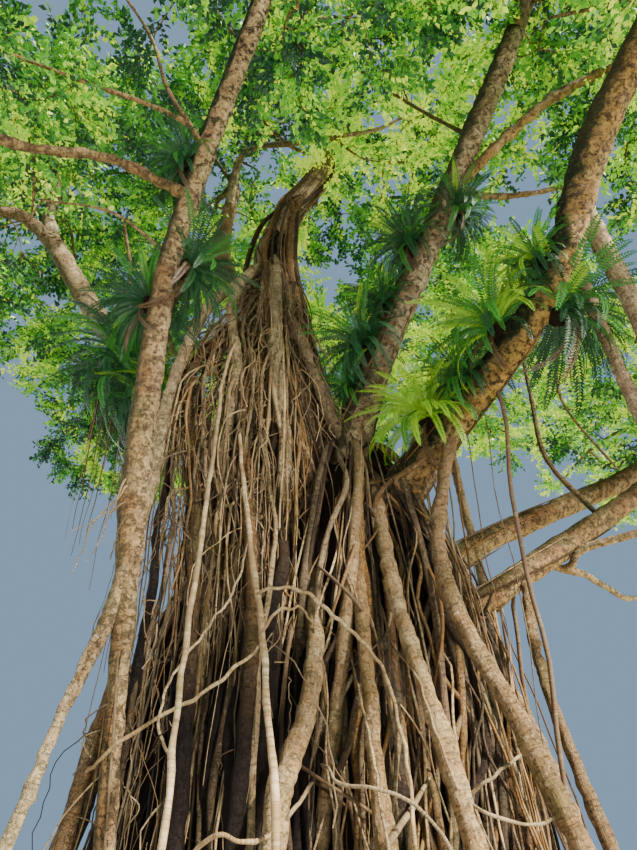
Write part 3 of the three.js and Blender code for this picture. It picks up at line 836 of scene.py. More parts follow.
# One pale branch leaves the head of the back upright bough and crosses in front of the leader.
CROSSING_BRANCH = (
    [[-1850, 890, 12420], [-1800, 700, 13100], [-1619, 500, 13714], [-1260, 200, 13551],
     [-442, -300, 12950], [213, -800, 12363], [611, -950, 12259], [1013, -1100, 12150],
     [1490, -1250, 12276]],
    [115, 85, 60, 56, 50, 42, 36, 28],
)
CROSSING_LOOK = (0.5, 0.85, 0.15)
# Another leaves the underside of the low right bough and forks at once. Its lower limb ends free.
FORKED_BRANCHES = [
    ([[2780, -60, 4520], [3011, -60, 4418], [3262, 20, 4379], [3477, 120, 4373],
      [3681, 250, 4309], [3909, 400, 4248], [4128, 550, 4190], [4474, 700, 4250],
      [4820, 800, 4420], [5150, 850, 4700]],
     [56, 52, 46, 43, 41, 40, 38, 35, 28, 12]),
    ([[3120, -20, 4390], [3231, -120, 4396], [3293, -230, 4502], [3426, -300, 4583],
      [3607, -380, 4618], [3826, -480, 4645], [4100, -600, 4720], [4900, -800, 5400],
      [5700, -1000, 6500], [6100, -1100, 7400]],
     [44, 46, 48, 50, 50, 48, 46, 38, 28, 16]),
]
FORKED_LOOK = (0.8, 0.75, 0.1)
# The skin of the left stem runs on over the head of the leg that it stands on.
LEG_WEB = (
    [[-1765, -2330, 4050], [-1790, -2345, 3450], [-1890, -2410, 2900], [-2000, -2490, 2400]],
    [60, 80, 66, 36],
)
LEG_WEB_LOOK = (0.9, 0.6, 0.2)
BRANCH_LUMP = 0.2


def add_branch(limb, sides, look, relief, seed):
    boughs.tube(*limb_line(*limb), sides, look, relief, BRANCH_LUMP, seed)


for order, limb in enumerate(SIDE_BRANCHES):
    add_branch(limb, 10, PLAIN_LOOK, 0.006, order + 60)
add_branch(CROSSING_BRANCH, 12, CROSSING_LOOK, 0.007, 89)
for limb in FORKED_BRANCHES:
    add_branch(limb, 12, FORKED_LOOK, 0.005, 91)
add_branch(LEG_WEB, 14, LEG_WEB_LOOK, 0.008, 90)
dress(boughs.piece("bough_bark", BARK), "bark", *BOUGHS)

# %% [markdown]
# ## Prop roots
#
# The named prop roots are made in the same way with the root's finish. They are thinner, so they
# get fewer sides and smaller lumps. The front ones are pale, some of the hanging ones brown, and
# each hanging one is carried on into the column that it comes out of, so no cut end shows.

# %% Prop roots: how warm, how pale and how dark, and their heads in the column
ROOT_LOOKS = {
    "front_root_1": (0.55, 0.55, 0.05),
    "front_root_2": (0.7, 0.72, 0.0),
    "front_root_3": (0.75, 0.72, 0.0),
    "front_root_4": (0.7, 0.6, 0.05),
    "front_root_5": (0.5, 0.5, 0.15),
    "hanging_root_1": (0.3, 0.95, 0.0),
    "hanging_root_2": (0.5, 0.4, 0.35),
    "hanging_root_3": (0.15, 0.85, 0.0),
    "hanging_root_4": (0.6, 0.4, 0.3),
    "hanging_root_5": (0.2, 0.6, 0.1),
    "hanging_root_6": (0.1, 0.8, 0.05),
    "left_leg_1": (0.35, 0.95, 0.0),
    "left_leg_2": (0.7, 0.6, 0.1),
    "strangling_root_1": (0.2, 0.9, 0.0),
    "strangling_root_2": (0.2, 0.75, 0.05),
}
ROOT_HEADS = {
    "hanging_root_1": [-740, -470, 9700],
    "hanging_root_2": [-620, -430, 8750],
    "hanging_root_3": [-760, -470, 9950],
    "hanging_root_4": [-560, -460, 8150],
    "hanging_root_5": [-660, -470, 9000],
    "hanging_root_6": [-760, -480, 9650],
}
PLAIN_ROOT_LOOK = (0.4, 0.6, 0.1)
HEAD_WIDTH = 0.6
PROP_STEP = 0.065
PROP_SWELL = (0.08, 0.6)
PROP_RELIEF = 0.009
PROP_LUMP = 0.17

props = Bundle()
for index, (name, (route, radii)) in enumerate(ROOTS.items()):
    if name in ROOT_HEADS:
        route = [ROOT_HEADS[name]] + route
        radii = [HEAD_WIDTH * radii[0]] + radii
    line, widths = limb_line(route, radii, PROP_STEP)
    widths = swollen(line, widths, *PROP_SWELL, index + 40)
    look = ROOT_LOOKS.get(name, PLAIN_ROOT_LOOK)
    props.tube(line, widths, THIN_SIDES, look, PROP_RELIEF, PROP_LUMP, index)
dress(props.piece("prop_roots", ROOT_SKIN), "prop_root", *ROOTS)

# %% [markdown]
# ## The roots that make the trunk
#
# The trunk is not one stem. It is some three hundred roots that ran down side by side and grew
# together, so what shows is a sheaf of ridges that fan out to the ground, with thinner roots across
# them. Each root here starts somewhere up the column, keeps close to its side while it wanders a
# little, and gets thicker downwards. Thick roots are sunk in the heart, thin ones stand off it.

# %% Roots down the side of a column
LONG_WAVES = (2.0, 3.6)
SHORT_WAVES = (0.7, 1.3)
DOWN_STEP = 0.14
# How far a root sways round the column and out from it.
SWAYS = (0.07, 0.02)
# How deep a root's head lies in the heart, and over which share of the root.
HEAD_DEPTH = 0.16
HEAD_SHARE = 0.2


def wander(rng, heights, reach):
    """A smooth sideways sway along a hanging line, in metres."""
    first, second = rng.uniform(0, TURN, 2)
    slow = np.sin(TURN * heights / rng.uniform(*LONG_WAVES) + first)
    quick = np.sin(TURN * heights / rng.uniform(*SHORT_WAVES) + second)
    return reach * (slow + 0.3 * quick)


def column_root(rng, column, top, foot, stand_off, drift):
    """A line down the side of a column. It leaves the heart at its top and stands off below."""
    heights = np.linspace(top, foot, max(10, int((top - foot) / DOWN_STEP)))
    fallen = (top - heights) / (top - foot)
    half_depth = column_rings(column, heights)[3]
    turns = rng.uniform(0, TURN) + rng.normal(0, drift) * fallen
    turns = turns + wander(rng, heights, SWAYS[0]) / half_depth
    out = np.minimum(1, fallen / HEAD_SHARE)
    shift = stand_off * out - HEAD_DEPTH * (1 - out) + wander(rng, heights, SWAYS[1])
    return column_place(column, heights, turns) + outwards(turns) * shift[:, None], fallen


example, _ = column_root(default_rng(0), COLUMNS["trunk"], 6, 0, 0, 0.1)
print("an example's foot:", np.round(example[-1], 2))

# %% Tiers of roots
# How many roots, the heights they start between, their radii, how far their middles stand off the
# column, how much they drift round it, and their number of sides.
TRUNK_TIERS = [
    (52, (2.8, 6.2), (0.055, 0.12), (-0.09, -0.01), 0.1, 10),
    (120, (2.0, 6.2), (0.022, 0.052), (0.01, 0.09), 0.22, 7),
    (130, (1.2, 6.0), (0.008, 0.018), (0.04, 0.18), 0.35, 4),
]
UPPER_TIERS = [
    (18, (8.0, 10.6), (0.06, 0.11), (-0.03, 0.02), 0.3, 9),
    (44, (6.5, 10.6), (0.018, 0.045), (0.02, 0.08), 0.8, 6),
    (70, (6.0, 10.6), (0.007, 0.016), (0.04, 0.13), 1.4, 4),
]
UPPER_FOOT = 4.4
TIER_WIDTHS = [0.72, 1.22]
TIER_SWELL = (0.07, 0.6)


def tier_roots(bundle, rng, column, tiers, foot):
    """Adds tiers of roots. Those sunk in the heart are painted dark, as shade."""
    for number, tops, radii, stand_offs, drift, sides in tiers:
        for _ in range(number):
            stand_off = rng.uniform(*stand_offs)
            line, fallen = column_root(rng, column, rng.uniform(*tops), foot, stand_off, drift)
            radius = rng.uniform(*radii)
            widths = swollen(line, radius * along(TIER_WIDTHS, fallen), *TIER_SWELL, sides)
            warm, pale, deep = root_look(rng, 0.85)
            # A root sunk in the heart is darkened as painted shade.
            deep = 0.45 + 0.5 * deep if stand_off < 0.0 else deep
            look = (warm, pale, deep)
            bundle.tube(line, widths, sides, look, 0.2 * radius, 0.22, rng.integers(99))


rng = default_rng(5)
fused = Bundle()
tier_roots(fused, rng, COLUMNS["trunk"], TRUNK_TIERS, 0.0)
climbing = Bundle()
tier_roots(climbing, rng, COLUMNS["upper_column"], UPPER_TIERS, UPPER_FOOT)
print("roots down the columns:", len(fused.places) + len(climbing.places))

# %% [markdown]
# Many roots start on the boughs. They cling to the skin, run down over the bough's base and go on
# down the column. Each is a smooth curve through a few places on the bough and a few on the column.
# Where the bough comes out is found by testing places along it against the column's half sizes.

# %% Roots that come down the boughs
CLINGING = {
    "tall_right_bough": 16, "leaning_right_bough": 18, "left_bough": 14, "low_right_bough": 10,
    "low_right_back_bough": 10, "back_right_bough": 10, "back_bough": 10, "back_left_bough": 10,
}
CLINGING_UPPER = {"middle_bough": 34, "back_upright_bough": 14}
CLINGING_REACH = {"middle_bough": 0.92}
CLINGING_STEPS = 46
CLINGING_RADII = [0.012, 0.022, 0.04, 0.065]
CLINGING_CHANCES = [0.3, 0.34, 0.24, 0.12]
# Places of a root's route on its bough and on its column.
ON_BOUGH = 6
ON_COLUMN = 7


def off_middle(place, column):
    """How far off a column's middle places are. 1 is on its side."""
    middle_x, middle_y, half_width, half_depth = column_rings(column, place[..., 2])
    return (place[..., 0] - middle_x) / half_width, (place[..., 1] - middle_y) / half_depth


def leaving_share(name, column):
    """The share of the way along a bough at which it comes out of its column."""
    shares = np.linspace(0, 0.6, 61)
    places = curve(BOUGHS[name][0], shares)
    buried = (np.hypot(*off_middle(places, column)) < 1) & (places[:, 2] < column_ends(column)[1])
    return shares[buried][-1] if buried.any() else 0.0


def clinging_root(rng, name, column, foot):
    """A line from a bough's skin over its base and down its column."""
    route, radii = BOUGHS[name]
    leaving = leaving_share(name, column)
    highest = rng.uniform(0.02, CLINGING_REACH.get(name, 0.5)) ** 1.5 + 0.03
    shares = np.linspace(min(0.97, leaving + highest), leaving, ON_BOUGH)
    middles = curve(route, shares)
    ways = unit(np.gradient(middles, axis=0))
    sides = unit(np.cross(ways, (0.2, 0.1, 1)))
    tops = np.cross(sides, ways)
    angles = (rng.uniform(0, TURN) + rng.normal(0, 0.6) * evenly(ON_BOUGH))[:, None]
    widths = (along(radii, shares) * MILLIMETRE)[:, None] * rng.uniform(1.0, 1.12)
    on_bough = middles + (sides * np.cos(angles) + tops * np.sin(angles)) * widths
    last = on_bough[-1].copy()
    heights = np.linspace(min(last[2] - 0.4, column_ends(column)[1] - 0.3), foot, ON_COLUMN)
    last[2] = heights[0]
    sideways, forwards = off_middle(last, column)
    turns = math.atan2(forwards, sideways) + rng.normal(0, 0.3)
    turns = turns + rng.normal(0, 0.2) * evenly(ON_COLUMN)
    on_column = column_place(column, heights, turns, -rng.uniform(0.0, 0.1))
    return curve(np.vstack([on_bough, on_column]) / MILLIMETRE, evenly(CLINGING_STEPS))


def add_clinging(bundle, rng, counts, column, foot):
    """Adds roots that come down the boughs. Their first ends are thin."""
    for name, number in counts.items():
        for _ in range(number):
            radius = rng.choice(CLINGING_RADII, p=CLINGING_CHANCES)
            line = clinging_root(rng, name, column, foot)
            shares = evenly(CLINGING_STEPS)
            widths = radius * (0.6 + 0.6 * shares) * np.minimum(1, 0.2 + 8 * shares)
            sides = 6 if radius < 0.03 else 9
            bundle.tube(line, widths, sides, root_look(rng, 0.8), 0.15 * radius, 0.2, number)


add_clinging(fused, rng, CLINGING, COLUMNS["trunk"], 0.0)
add_clinging(climbing, rng, CLINGING_UPPER, COLUMNS["upper_column"], UPPER_FOOT)
dress(fused.piece("trunk_roots", ROOT_SKIN), "prop_root", "trunk")
dress(climbing.piece("upper_roots", ROOT_SKIN), "prop_root", "upper_column")

# %% [markdown]
# ## Curtains of hanging roots
#
# At the left of the trunk, roots hang like a curtain between the six main hanging ones, which are
# the guides. A curtain root takes two neighbouring guides and runs between them at a share of the
# way, with a sway of its own. Thick dark ones hang behind, and thin pale ones in front. Others
# leave the underside of a bough and come down to the foot of the trunk.
#
# The thin ones are lines with a thickness, so Geometry Nodes make them: a mesh of edges becomes
# curves, and each curve is swept with a small circle that is scaled by the `radius` attribute.

# %% Helpers for trees of nodes
def new_tree(name, inputs, output):
    """A tree with named inputs and one output, and what its inputs hand on."""
    tree = bpy.data.node_groups.new(name, "GeometryNodeTree")
    sockets = [(title, "INPUT", kind) for title, kind in inputs.items()]
    for title, side, kind in sockets + [(output, "OUTPUT", "Geometry")]:
        tree.interface.new_socket(name=title, in_out=side, socket_type="NodeSocket" + kind)
    print(name, "takes", list(inputs))
    return tree, tree.nodes.new("NodeGroupInput").outputs


def named(tree, name, kind):
    """A named attribute of the points."""
    node = add_node(tree, "GeometryNodeInputNamedAttribute", {"Name": name}, data_type=kind)
    return node.outputs["Attribute"]


def finished(tree, geometry, skin):
    """Ends a tree: instances made real, material set, result handed out."""
    real = add_node(tree, "GeometryNodeRealizeInstances", {"Geometry": geometry})
    inputs = {"Geometry": real.outputs[0], "Material": skin}
    skinned = add_node(tree, "GeometryNodeSetMaterial", inputs)
    tree.links.new(skinned.outputs[0], tree.nodes.new("NodeGroupOutput").inputs[0])


# %% The tree of nodes that thickens lines
def thickening_tree():
    kinds = {"Lines": "Geometry", "Sides": "Int", "Skin": "Material"}
    tree, given = new_tree("thicken_lines", kinds, "Strands")
    curves = add_node(tree, "GeometryNodeMeshToCurve", {"Mesh": given["Lines"]})
    circle_inputs = {"Resolution": given["Sides"], "Radius": 1.0}
    circle = add_node(tree, "GeometryNodeCurvePrimitiveCircle", circle_inputs)
    swept = add_node(tree, "GeometryNodeCurveToMesh", {
        "Curve": curves.outputs[0],
        "Profile Curve": circle.outputs[0],
        "Scale": named(tree, "radius", "FLOAT"),
        "Fill Caps": True,
    })
    finished(tree, swept.outputs[0], given["Skin"])
    return tree


THICKEN = thickening_tree()


# %% Points in, plain mesh out
def points_object(name, places, edges, attributes):
    """A bare mesh of points and edges, with attributes for a tree of nodes."""
    mesh = bpy.data.meshes.new(name)
    mesh.from_pydata(places.tolist(), edges, [])
    for title, values in attributes.items():
        set_attribute(mesh, title, values)
    return in_scene(name, mesh)


def made_real(carrier, tree, settings, name):
    """Runs a tree of nodes and keeps the result as a plain mesh above the ground."""
    modifier = carrier.modifiers.new("grow", "NODES")
    modifier.node_group = tree
    for item in tree.interface.items_tree:
        if item.in_out == "INPUT" and item.name in settings:
            modifier[item.identifier] = settings[item.name]
    graph = bpy.context.evaluated_depsgraph_get()
    mesh = bpy.data.meshes.new_from_object(carrier.evaluated_get(graph))
    carrier.modifiers.remove(modifier)
    bpy.data.objects.remove(carrier)
    places = np.empty(3 * len(mesh.vertices), np.float32)
    mesh.vertices.foreach_get("co", places)
    places[2::3] = np.maximum(places[2::3], 0)
    mesh.vertices.foreach_set("co", places)
    mesh.name = name
    return in_scene(name, mesh)


# %% Strands: thin lines that become one piece
STRAND_STEP = 0.12


class Strands:
    """Thin lines, each with a radius and a look."""

    def __init__(self):
        self.lines = []
        self.radii = []
        self.looks = []

    def add(self, line, radii, look):
        self.lines.append(line)
        self.radii.append(np.broadcast_to(radii, len(line)))
        self.looks.append(np.broadcast_to(look, (len(line), 3)))

    def piece(self, name, sides, skin):
        edges = []
        grain = []
        count = 0
        for order, line in enumerate(self.lines):
            edges += [(count + k, count + k + 1) for k in range(len(line) - 1)]
            grain += [(0, 0, order + STRAND_STEP * k) for k in range(len(line))]
            count += len(line)
        carrier = points_object(name + "_lines", np.vstack(self.lines), edges, {
            "radius": np.concatenate(self.radii),
            "look": np.vstack(self.looks),
            "grain": np.array(grain, float),
        })
        made = made_real(carrier, THICKEN, {"Sides": sides, "Skin": skin}, name)
        made.data.shade_smooth()
        return made


print("strands keep:", list(vars(Strands())))

# %% Lines between the guides
# A guide that joins the left stem or the trunk is carried on from there to the ground.
GUIDES = {
    "hanging_root_1": [[-1900, -2500, 1700], [-2050, -2650, -BELOW]],
    "hanging_root_2": [],
    "hanging_root_3": [[-1000, -1800, 2200], [-900, -2250, -BELOW]],
    "hanging_root_4": [],
    "hanging_root_6": [[-560, -1850, 2400], [-520, -2300, -BELOW]],
    "hanging_root_5": [[450, -1500, 3200], [480, -2250, -BELOW]],
}
GUIDE_ROUTES = [ROOTS[name][0] + onward for name, onward in GUIDES.items()]
CURTAIN_STEPS = 28
CURTAIN_SWAY = 0.04
# Above this height a root comes out of the upper column, below it out of the trunk.
TUCK_CHANGE = 5.4
TUCK_DEPTH = 0.75
TUCK_SHARE = 0.2


def swaying(rng, line, reach):
    """The line with a sway sideways and one forwards."""
    for across in (0, 1):
        line[:, across] += wander(rng, line[:, 2], reach)
    return line


def curtain_line(rng, shares, behind=0.0, spread=1.0):
    """A line between two neighbouring guides. behind is how far back it hangs, in metres."""
    place = rng.uniform(0, len(GUIDE_ROUTES) - 1)
    first = int(place)
    near, far = (curve(GUIDE_ROUTES[first + k], shares) for k in (0, 1))
    line = near + (far - near) * (place - first)
    free = np.sin(math.pi * (0.1 + 0.9 * shares))[:, None]
    line += free * (rng.normal(0, 0.1 * spread), rng.normal(behind, 0.13 * spread), 0)
    return swaying(rng, line, CURTAIN_SWAY)


def tucked(line):
    """The line with its top bent back into the column behind it, where the root comes from."""
    column = COLUMNS["upper_column" if line[0, 2] > TUCK_CHANGE else "trunk"]
    middle_x, middle_y, _, half_depth = column_rings(column, line[0, 2])
    way = (middle_x, middle_y) - line[0, :2]
    distance = np.linalg.norm(way) - TUCK_DEPTH * half_depth
    pull = np.maximum(0, 1 - evenly(len(line)) / TUCK_SHARE) ** 2
    bent = line.copy()
    bent[:, :2] += pull[:, None] * unit(way) * max(0.0, distance)
    return bent


print("guides:", len(GUIDE_ROUTES))

# %% Curtain roots
# How many roots, how far behind the guides they hang, how widely they spread, their radii, how pale
# and how dark they are. The ones that hang behind are dark as painted shade.
HEAVY_CURTAIN = [
    (18, 0.32, 1.5, (0.03, 0.075), (0.0, 0.6), (0.5, 0.95)),
    (14, 0.05, 1.1, (0.016, 0.036), (0.4, 1.0), (0.0, 0.3)),
]
HEAVY_STEPS = 56
HEAVY_SWELL = (0.08, 0.5)

rng = default_rng(8)
heavy = Bundle()
for number, behind, spread, radii, pales, deeps in HEAVY_CURTAIN:
    for order in range(number):
        start = rng.uniform(0, 0.3)
        line = curtain_line(rng, np.linspace(start, 1, HEAVY_STEPS), behind, spread)
        radius = rng.uniform(*radii)
        taper = np.linspace(0.7, 1.15, HEAVY_STEPS)
        widths = swollen(line, radius * taper, *HEAVY_SWELL, order)
        look = (rng.uniform(0, 0.8), rng.uniform(*pales), rng.uniform(*deeps))
        heavy.tube(tucked(line), widths, 9, look, 0.18 * radius, 0.2, order)
dress(heavy.piece("curtain_roots", ROOT_SKIN), "prop_root")

# %% Thin curtain roots
THIN_CURTAIN = 120
THIN_RADII = [0.006, 0.01, 0.016, 0.026]
THIN_CHANCES = [0.36, 0.32, 0.22, 0.1]

curtain = Strands()
for _ in range(THIN_CURTAIN):
    start = rng.uniform(0, 0.5)
    reach = min(1.0, start + rng.uniform(0.3, 0.9))
    line = curtain_line(rng, np.linspace(start, reach, CURTAIN_STEPS), 0.1, 1.2)
    radius = rng.choice(THIN_RADII, p=THIN_CHANCES)
    taper = np.linspace(1.0, 0.3 if reach < 1 else 1.1, CURTAIN_STEPS)
    curtain.add(tucked(line), radius * taper, root_look(rng, 0.8))
print("thin curtain roots:", len(curtain.lines))

# %% [markdown]
# Some of the thin roots let go of the others and hang plumb, pale and almost straight. A few come
# down to the ground, the rest end in the air.

# %% Plumb roots
PLUMB_ROOTS = 60
PLUMB_CHANCES = [0.35, 0.35, 0.2, 0.1]
PLUMB_SWAY = 0.015

for _ in range(PLUMB_ROOTS):
    start = curtain_line(rng, np.array([rng.uniform(0.05, 0.6)]), -0.1)[0]
    end = rng.choice([0.0, rng.uniform(0.4, 3.0)])
    lean = rng.normal((0.0, -0.35), (0.16, 0.25))
    line = start + np.outer(evenly(CURTAIN_STEPS), (*lean, end - start[2]))
    line = swaying(rng, line, PLUMB_SWAY)
    radius = rng.choice(THIN_RADII, p=PLUMB_CHANCES)
    look = (rng.uniform(0.3, 1), rng.uniform(0.5, 1), rng.uniform(0, 0.2))
    curtain.add(tucked(line), radius * np.linspace(1, 0.7, CURTAIN_STEPS), look)
print("lines so far:", len(curtain.lines))

# %% Roots from the boughs down to the foot of the trunk
SOURCE_BOUGHS = list(CLINGING)
DROP_ROOTS = 120
DROP_STEPS = 22
DROP_SWAY = 0.03
DROP_RADII = [0.007, 0.011, 0.017, 0.025]
DROP_CHANCES = [0.4, 0.3, 0.18, 0.12]
UNDER_SKIN = 0.6


def bough_place(name, share, out):
    """A place just under the skin of a bough, on the side that faces `out`."""
    route, radii = BOUGHS[name]
    middle = curve(route, np.array([share]))[0]
    return middle + unit(np.array(out, float)) * UNDER_SKIN * along(radii, share) * MILLIMETRE


for _ in range(DROP_ROOTS):
    name = SOURCE_BOUGHS[rng.integers(len(SOURCE_BOUGHS))]
    start = bough_place(name, rng.uniform(0.03, 0.36), (rng.normal(), rng.normal(), -1.5))
    direction = math.atan2(start[1], start[0] - 0.1) + rng.normal(0, 0.25)
    foot = column_place(COLUMNS["trunk"], np.array([0.0]), np.array([direction]), 0)[0]
    foot[:2] *= rng.uniform(0.98, 1.22)
    shares = evenly(DROP_STEPS)[:, None]
    line = start + (foot - start) * shares
    line[:, :2] = start[:2] + (foot[:2] - start[:2]) * shares ** rng.uniform(0.9, 1.8)
    line = swaying(rng, line, DROP_SWAY)
    line[0] = start
    radius = rng.choice(DROP_RADII, p=DROP_CHANCES)
    curtain.add(line, radius, root_look(rng, 0.6))
print("lines so far:", len(curtain.lines))

# %% [markdown]
# Roots also run across the others, where one lets go and is caught by the next. The large ones are
# given one by one. Ripples of two sizes keep them from looking drawn, and a thick one ripples less.

# %% Places of the crossing roots, and their radii
HAND_PLACED = [
    ([[-1890, -2200, 1930], [-1771, -2380, 1990], [-1458, -2500, 2185], [-1147, -2550, 2350],
      [-862, -2520, 2518], [-640, -2440, 2760], [-480, -2430, 2900]], 0.016),
    ([[-555, -2270, 3330], [-480, -2330, 3400], [-218, -2350, 3373],
      [15, -2350, 3265], [240, -2400, 3080], [398, -2450, 2868], [526, -2500, 2600],
      [618, -2600, 2281], [700, -2720, 1500], [760, -2850, 0]], 0.016),
    ([[-465, -2475, 2760], [-453, -2600, 2939], [-351, -2600, 3091], [-185, -2400, 3231],
      [-60, -1850, 3180]], 0.013),
    ([[-1090, -2200, 1000], [-950, -2750, 1250], [-789, -2900, 1451], [-615, -3000, 1520],
      [-449, -2900, 1498], [-330, -2640, 1540], [-310, -2540, 1620]], 0.016),
    ([[-760, -480, 8250], [-1020, -700, 7900], [-1179, -1400, 6723], [-1188, -1700, 5334],
      [-1152, -2100, 3958], [-1089, -2600, 2852], [-1029, -2950, 1893], [-980, -3150, 0]], 0.026),
    ([[-1180, -2120, 2000], [-1300, -2400, 2300], [-1013, -2450, 2932], [-780, -2150, 3400],
      [-700, -1900, 4100], [-730, -1660, 4250]], 0.012),
    ([[-620, -450, 7400], [-900, -500, 7000], [-967, -1300, 5714], [-786, -1700, 4577],
      [-630, -2100, 3734], [-509, -2350, 3149], [-415, -2600, 2483], [-318, -2850, 1874],
      [-200, -3050, 0]], 0.03),
]
# These hang from the left stem, and from the small arch, and end in the air.
WHISKERS = [
    ([[-1760, -2380, 4700], [-1868, -2450, 4488], [-1949, -2600, 3951],
      [-1990, -2700, 3490]], 0.014),
    ([[-1770, -2380, 4600], [-1900, -2500, 4250], [-2080, -2560, 3900],
      [-2160, -2600, 3420]], 0.012),
    ([[-1760, -2380, 4400], [-1890, -2520, 4150], [-2010, -2640, 3960],
      [-2260, -2600, 3800]], 0.01),
    ([[-351, -2600, 3085], [-330, -2610, 2930], [-395, -2620, 2810], [-430, -2630, 2730]], 0.007),
]
# These cross between the front prop roots, low down.
FOOT_ROOTS = [
    ([[30, -1900, 2028], [66, -2350, 1962], [156, -2700, 1831], [382, -2850, 1806],
      [603, -2900, 1738], [772, -2900, 1627], [870, -2900, 1462], [1000, -3000, 700],
      [1050, -3050, 0]], 0.013),
    ([[934, -1900, 1924], [827, -2250, 1837], [686, -2600, 1696], [560, -2750, 1569],
      [467, -2850, 1450], [300, -2950, 800], [240, -3000, 0]], 0.026),
    ([[-286, -2530, 1567], [-192, -2600, 1672], [-105, -2250, 1790], [-55, -1850, 1876]], 0.016),
    ([[281, -1550, 3134], [336, -1950, 2690], [385, -2350, 2312], [425, -2700, 1856],
      [463, -2900, 1451], [520, -3000, 700], [540, -3050, 0]], 0.011),
    ([[721, -1550, 3086], [748, -1850, 2945], [854, -2150, 2670], [901, -2400, 2365],
      [984, -2500, 2013], [1132, -2300, 1715]], 0.012),
    ([[1136, -2300, 1755], [1231, -2450, 1674], [1359, -2450, 1636], [1626, -2350, 1598],
      [1917, -2290, 1676]], 0.013),
    ([[1174, -2290, 1788], [1284, -2400, 1864], [1505, -2100, 1978], [1804, -1650, 2109],
      [2005, -1300, 2187]], 0.014),
]
print("placed by hand:", len(HAND_PLACED + WHISKERS + FOOT_ROOTS))

# %% Crossing roots
HAND_STEPS = 70
LIMP_RADIUS = 0.016
# How far each ripple reaches, and its size.
RIPPLES = [(0.02, 0.5), (0.01, 0.17)]
HAND_SWELL = (0.1, 0.25)
# A thick root's first width, and where it has all of it, as shares.
HEAD_GROWTH = (0.4, 0.45)
WHISKER_TIP = 0.3
FOOT_BEND = 0.4


def add_placed(order, route, radius, tip, look, bend=1.0):
    """Adds a root through given places. A thick one starts thin and ripples less."""
    line = curve(route, evenly(HAND_STEPS))
    limp = bend * min(1, (LIMP_RADIUS / radius) ** 2)
    for reach, size in RIPPLES:
        ripple = np.column_stack([lumps(line, size, order + k) for k in range(3)])
        line = line + reach * limp * ripple
    widths = radius * np.linspace(1, tip, HAND_STEPS)
    if radius > LIMP_RADIUS:
        widths = widths * np.interp(evenly(HAND_STEPS), [0, HEAD_GROWTH[1]], [HEAD_GROWTH[0], 1])
    curtain.add(line, swollen(line, widths, *HAND_SWELL, order), look)


for order, (route, radius) in enumerate(HAND_PLACED + WHISKERS):
    look = (rng.uniform(0.3, 0.8), rng.uniform(0.75, 1), rng.uniform(0, 0.08))
    add_placed(order, route, radius, 1.0 if order < len(HAND_PLACED) else WHISKER_TIP, look)
foot_rng = default_rng(29)
for order, (route, radius) in enumerate(FOOT_ROOTS, 20):
    look = (*foot_rng.uniform((0.2, 0.6), (0.8, 1.0)), foot_rng.uniform(0, 0.15))
    add_placed(order, route, radius, 1.0, look, FOOT_BEND)
print("lines so far:", len(curtain.lines))

# %% [markdown]
# The small ones leave the side of the trunk at one height and meet it again lower down and further
# round, with a slight bow outwards. Last comes a fringe of free roots that hang straight down from
# the left bough and end in the air.

# %% Small crossing roots and the fringe
CROSSING_ROOTS = 90
CROSSING_STEPS = 14
FRINGE_ROOTS = 26
FRINGE_SHARES = (0.46, 0.72)

for _ in range(CROSSING_ROOTS):
    top = rng.uniform(0.8, 5.4)
    heights = np.linspace(top, max(0.0, top - rng.uniform(0.3, 1.8)), CROSSING_STEPS)
    fallen = evenly(CROSSING_STEPS)
    turns = rng.uniform(0, TURN) + rng.normal(0, 0.35) * fallen
    bow = rng.uniform(0.13, 0.36) * np.sin(math.pi * fallen) - 0.08
    line = column_place(COLUMNS["trunk"], heights, turns) + outwards(turns) * bow[:, None]
    widths = rng.uniform(0.006, 0.022) * (0.25 + 0.75 * np.sin(math.pi * fallen) ** 0.5)
    curtain.add(line, widths, root_look(rng, 0.5))
fringe_rng = default_rng(21)
for _ in range(FRINGE_ROOTS):
    out = (*fringe_rng.normal(-0.3, 0.5, 2), -1.5)
    start = bough_place("left_bough", fringe_rng.uniform(*FRINGE_SHARES), out)
    fallen = evenly(DROP_STEPS)
    line = start - np.outer(fallen, (0, 0, fringe_rng.uniform(1.8, 4.6)))
    line = swaying(fringe_rng, line, DROP_SWAY * fallen)
    widths = fringe_rng.uniform(0.008, 0.018) * np.linspace(1, 0.3, DROP_STEPS)
    curtain.add(line, widths, (*fringe_rng.uniform(0.3, 0.9, 2), 0.1))
dress(curtain.piece("hanging_roots", 6, ROOT_SKIN), "prop_root")

# %% [markdown]
# ## Rootlets
#
# Round the curtain hangs a mat of rootlets no thicker than string. They start on a guide, loop out
# and hang, and cross each other. Three sides are enough at that size.

# %% Rootlets
ROOTLETS = 800
ROOTLET_STEPS = 12

rng = default_rng(13)
mat = Strands()
for _ in range(ROOTLETS):
    share = 0.02 + 0.83 * rng.uniform(0, 1) ** 1.5
    start = curtain_line(rng, np.array([share, share + 0.02]), 0.05, 1.3)[0]
    length = rng.uniform(0.25, 1.5)
    fallen = evenly(ROOTLET_STEPS)
    swing, curl = (np.clip(rng.normal(size=(2, 2)), -1.4, 1.4) * (0.3 * length, 0.06)).T
    flat = np.outer(np.sin(1.9 * fallen), swing) + np.outer(np.sin(6.5 * fallen), curl)
    flat += rng.normal(0, 0.012, (ROOTLET_STEPS, 2))
    fall = -length * fallen ** rng.uniform(0.8, 1.6)
    look = (rng.uniform(0.2, 0.8), rng.uniform(0.4, 1.0), 0.6 * rng.uniform(0, 1) ** 2)
    mat.add(start + np.column_stack([flat, fall]), rng.uniform(0.003, 0.008), look)
dress(mat.piece("rootlets", 3, ROOT_SKIN), "prop_root")

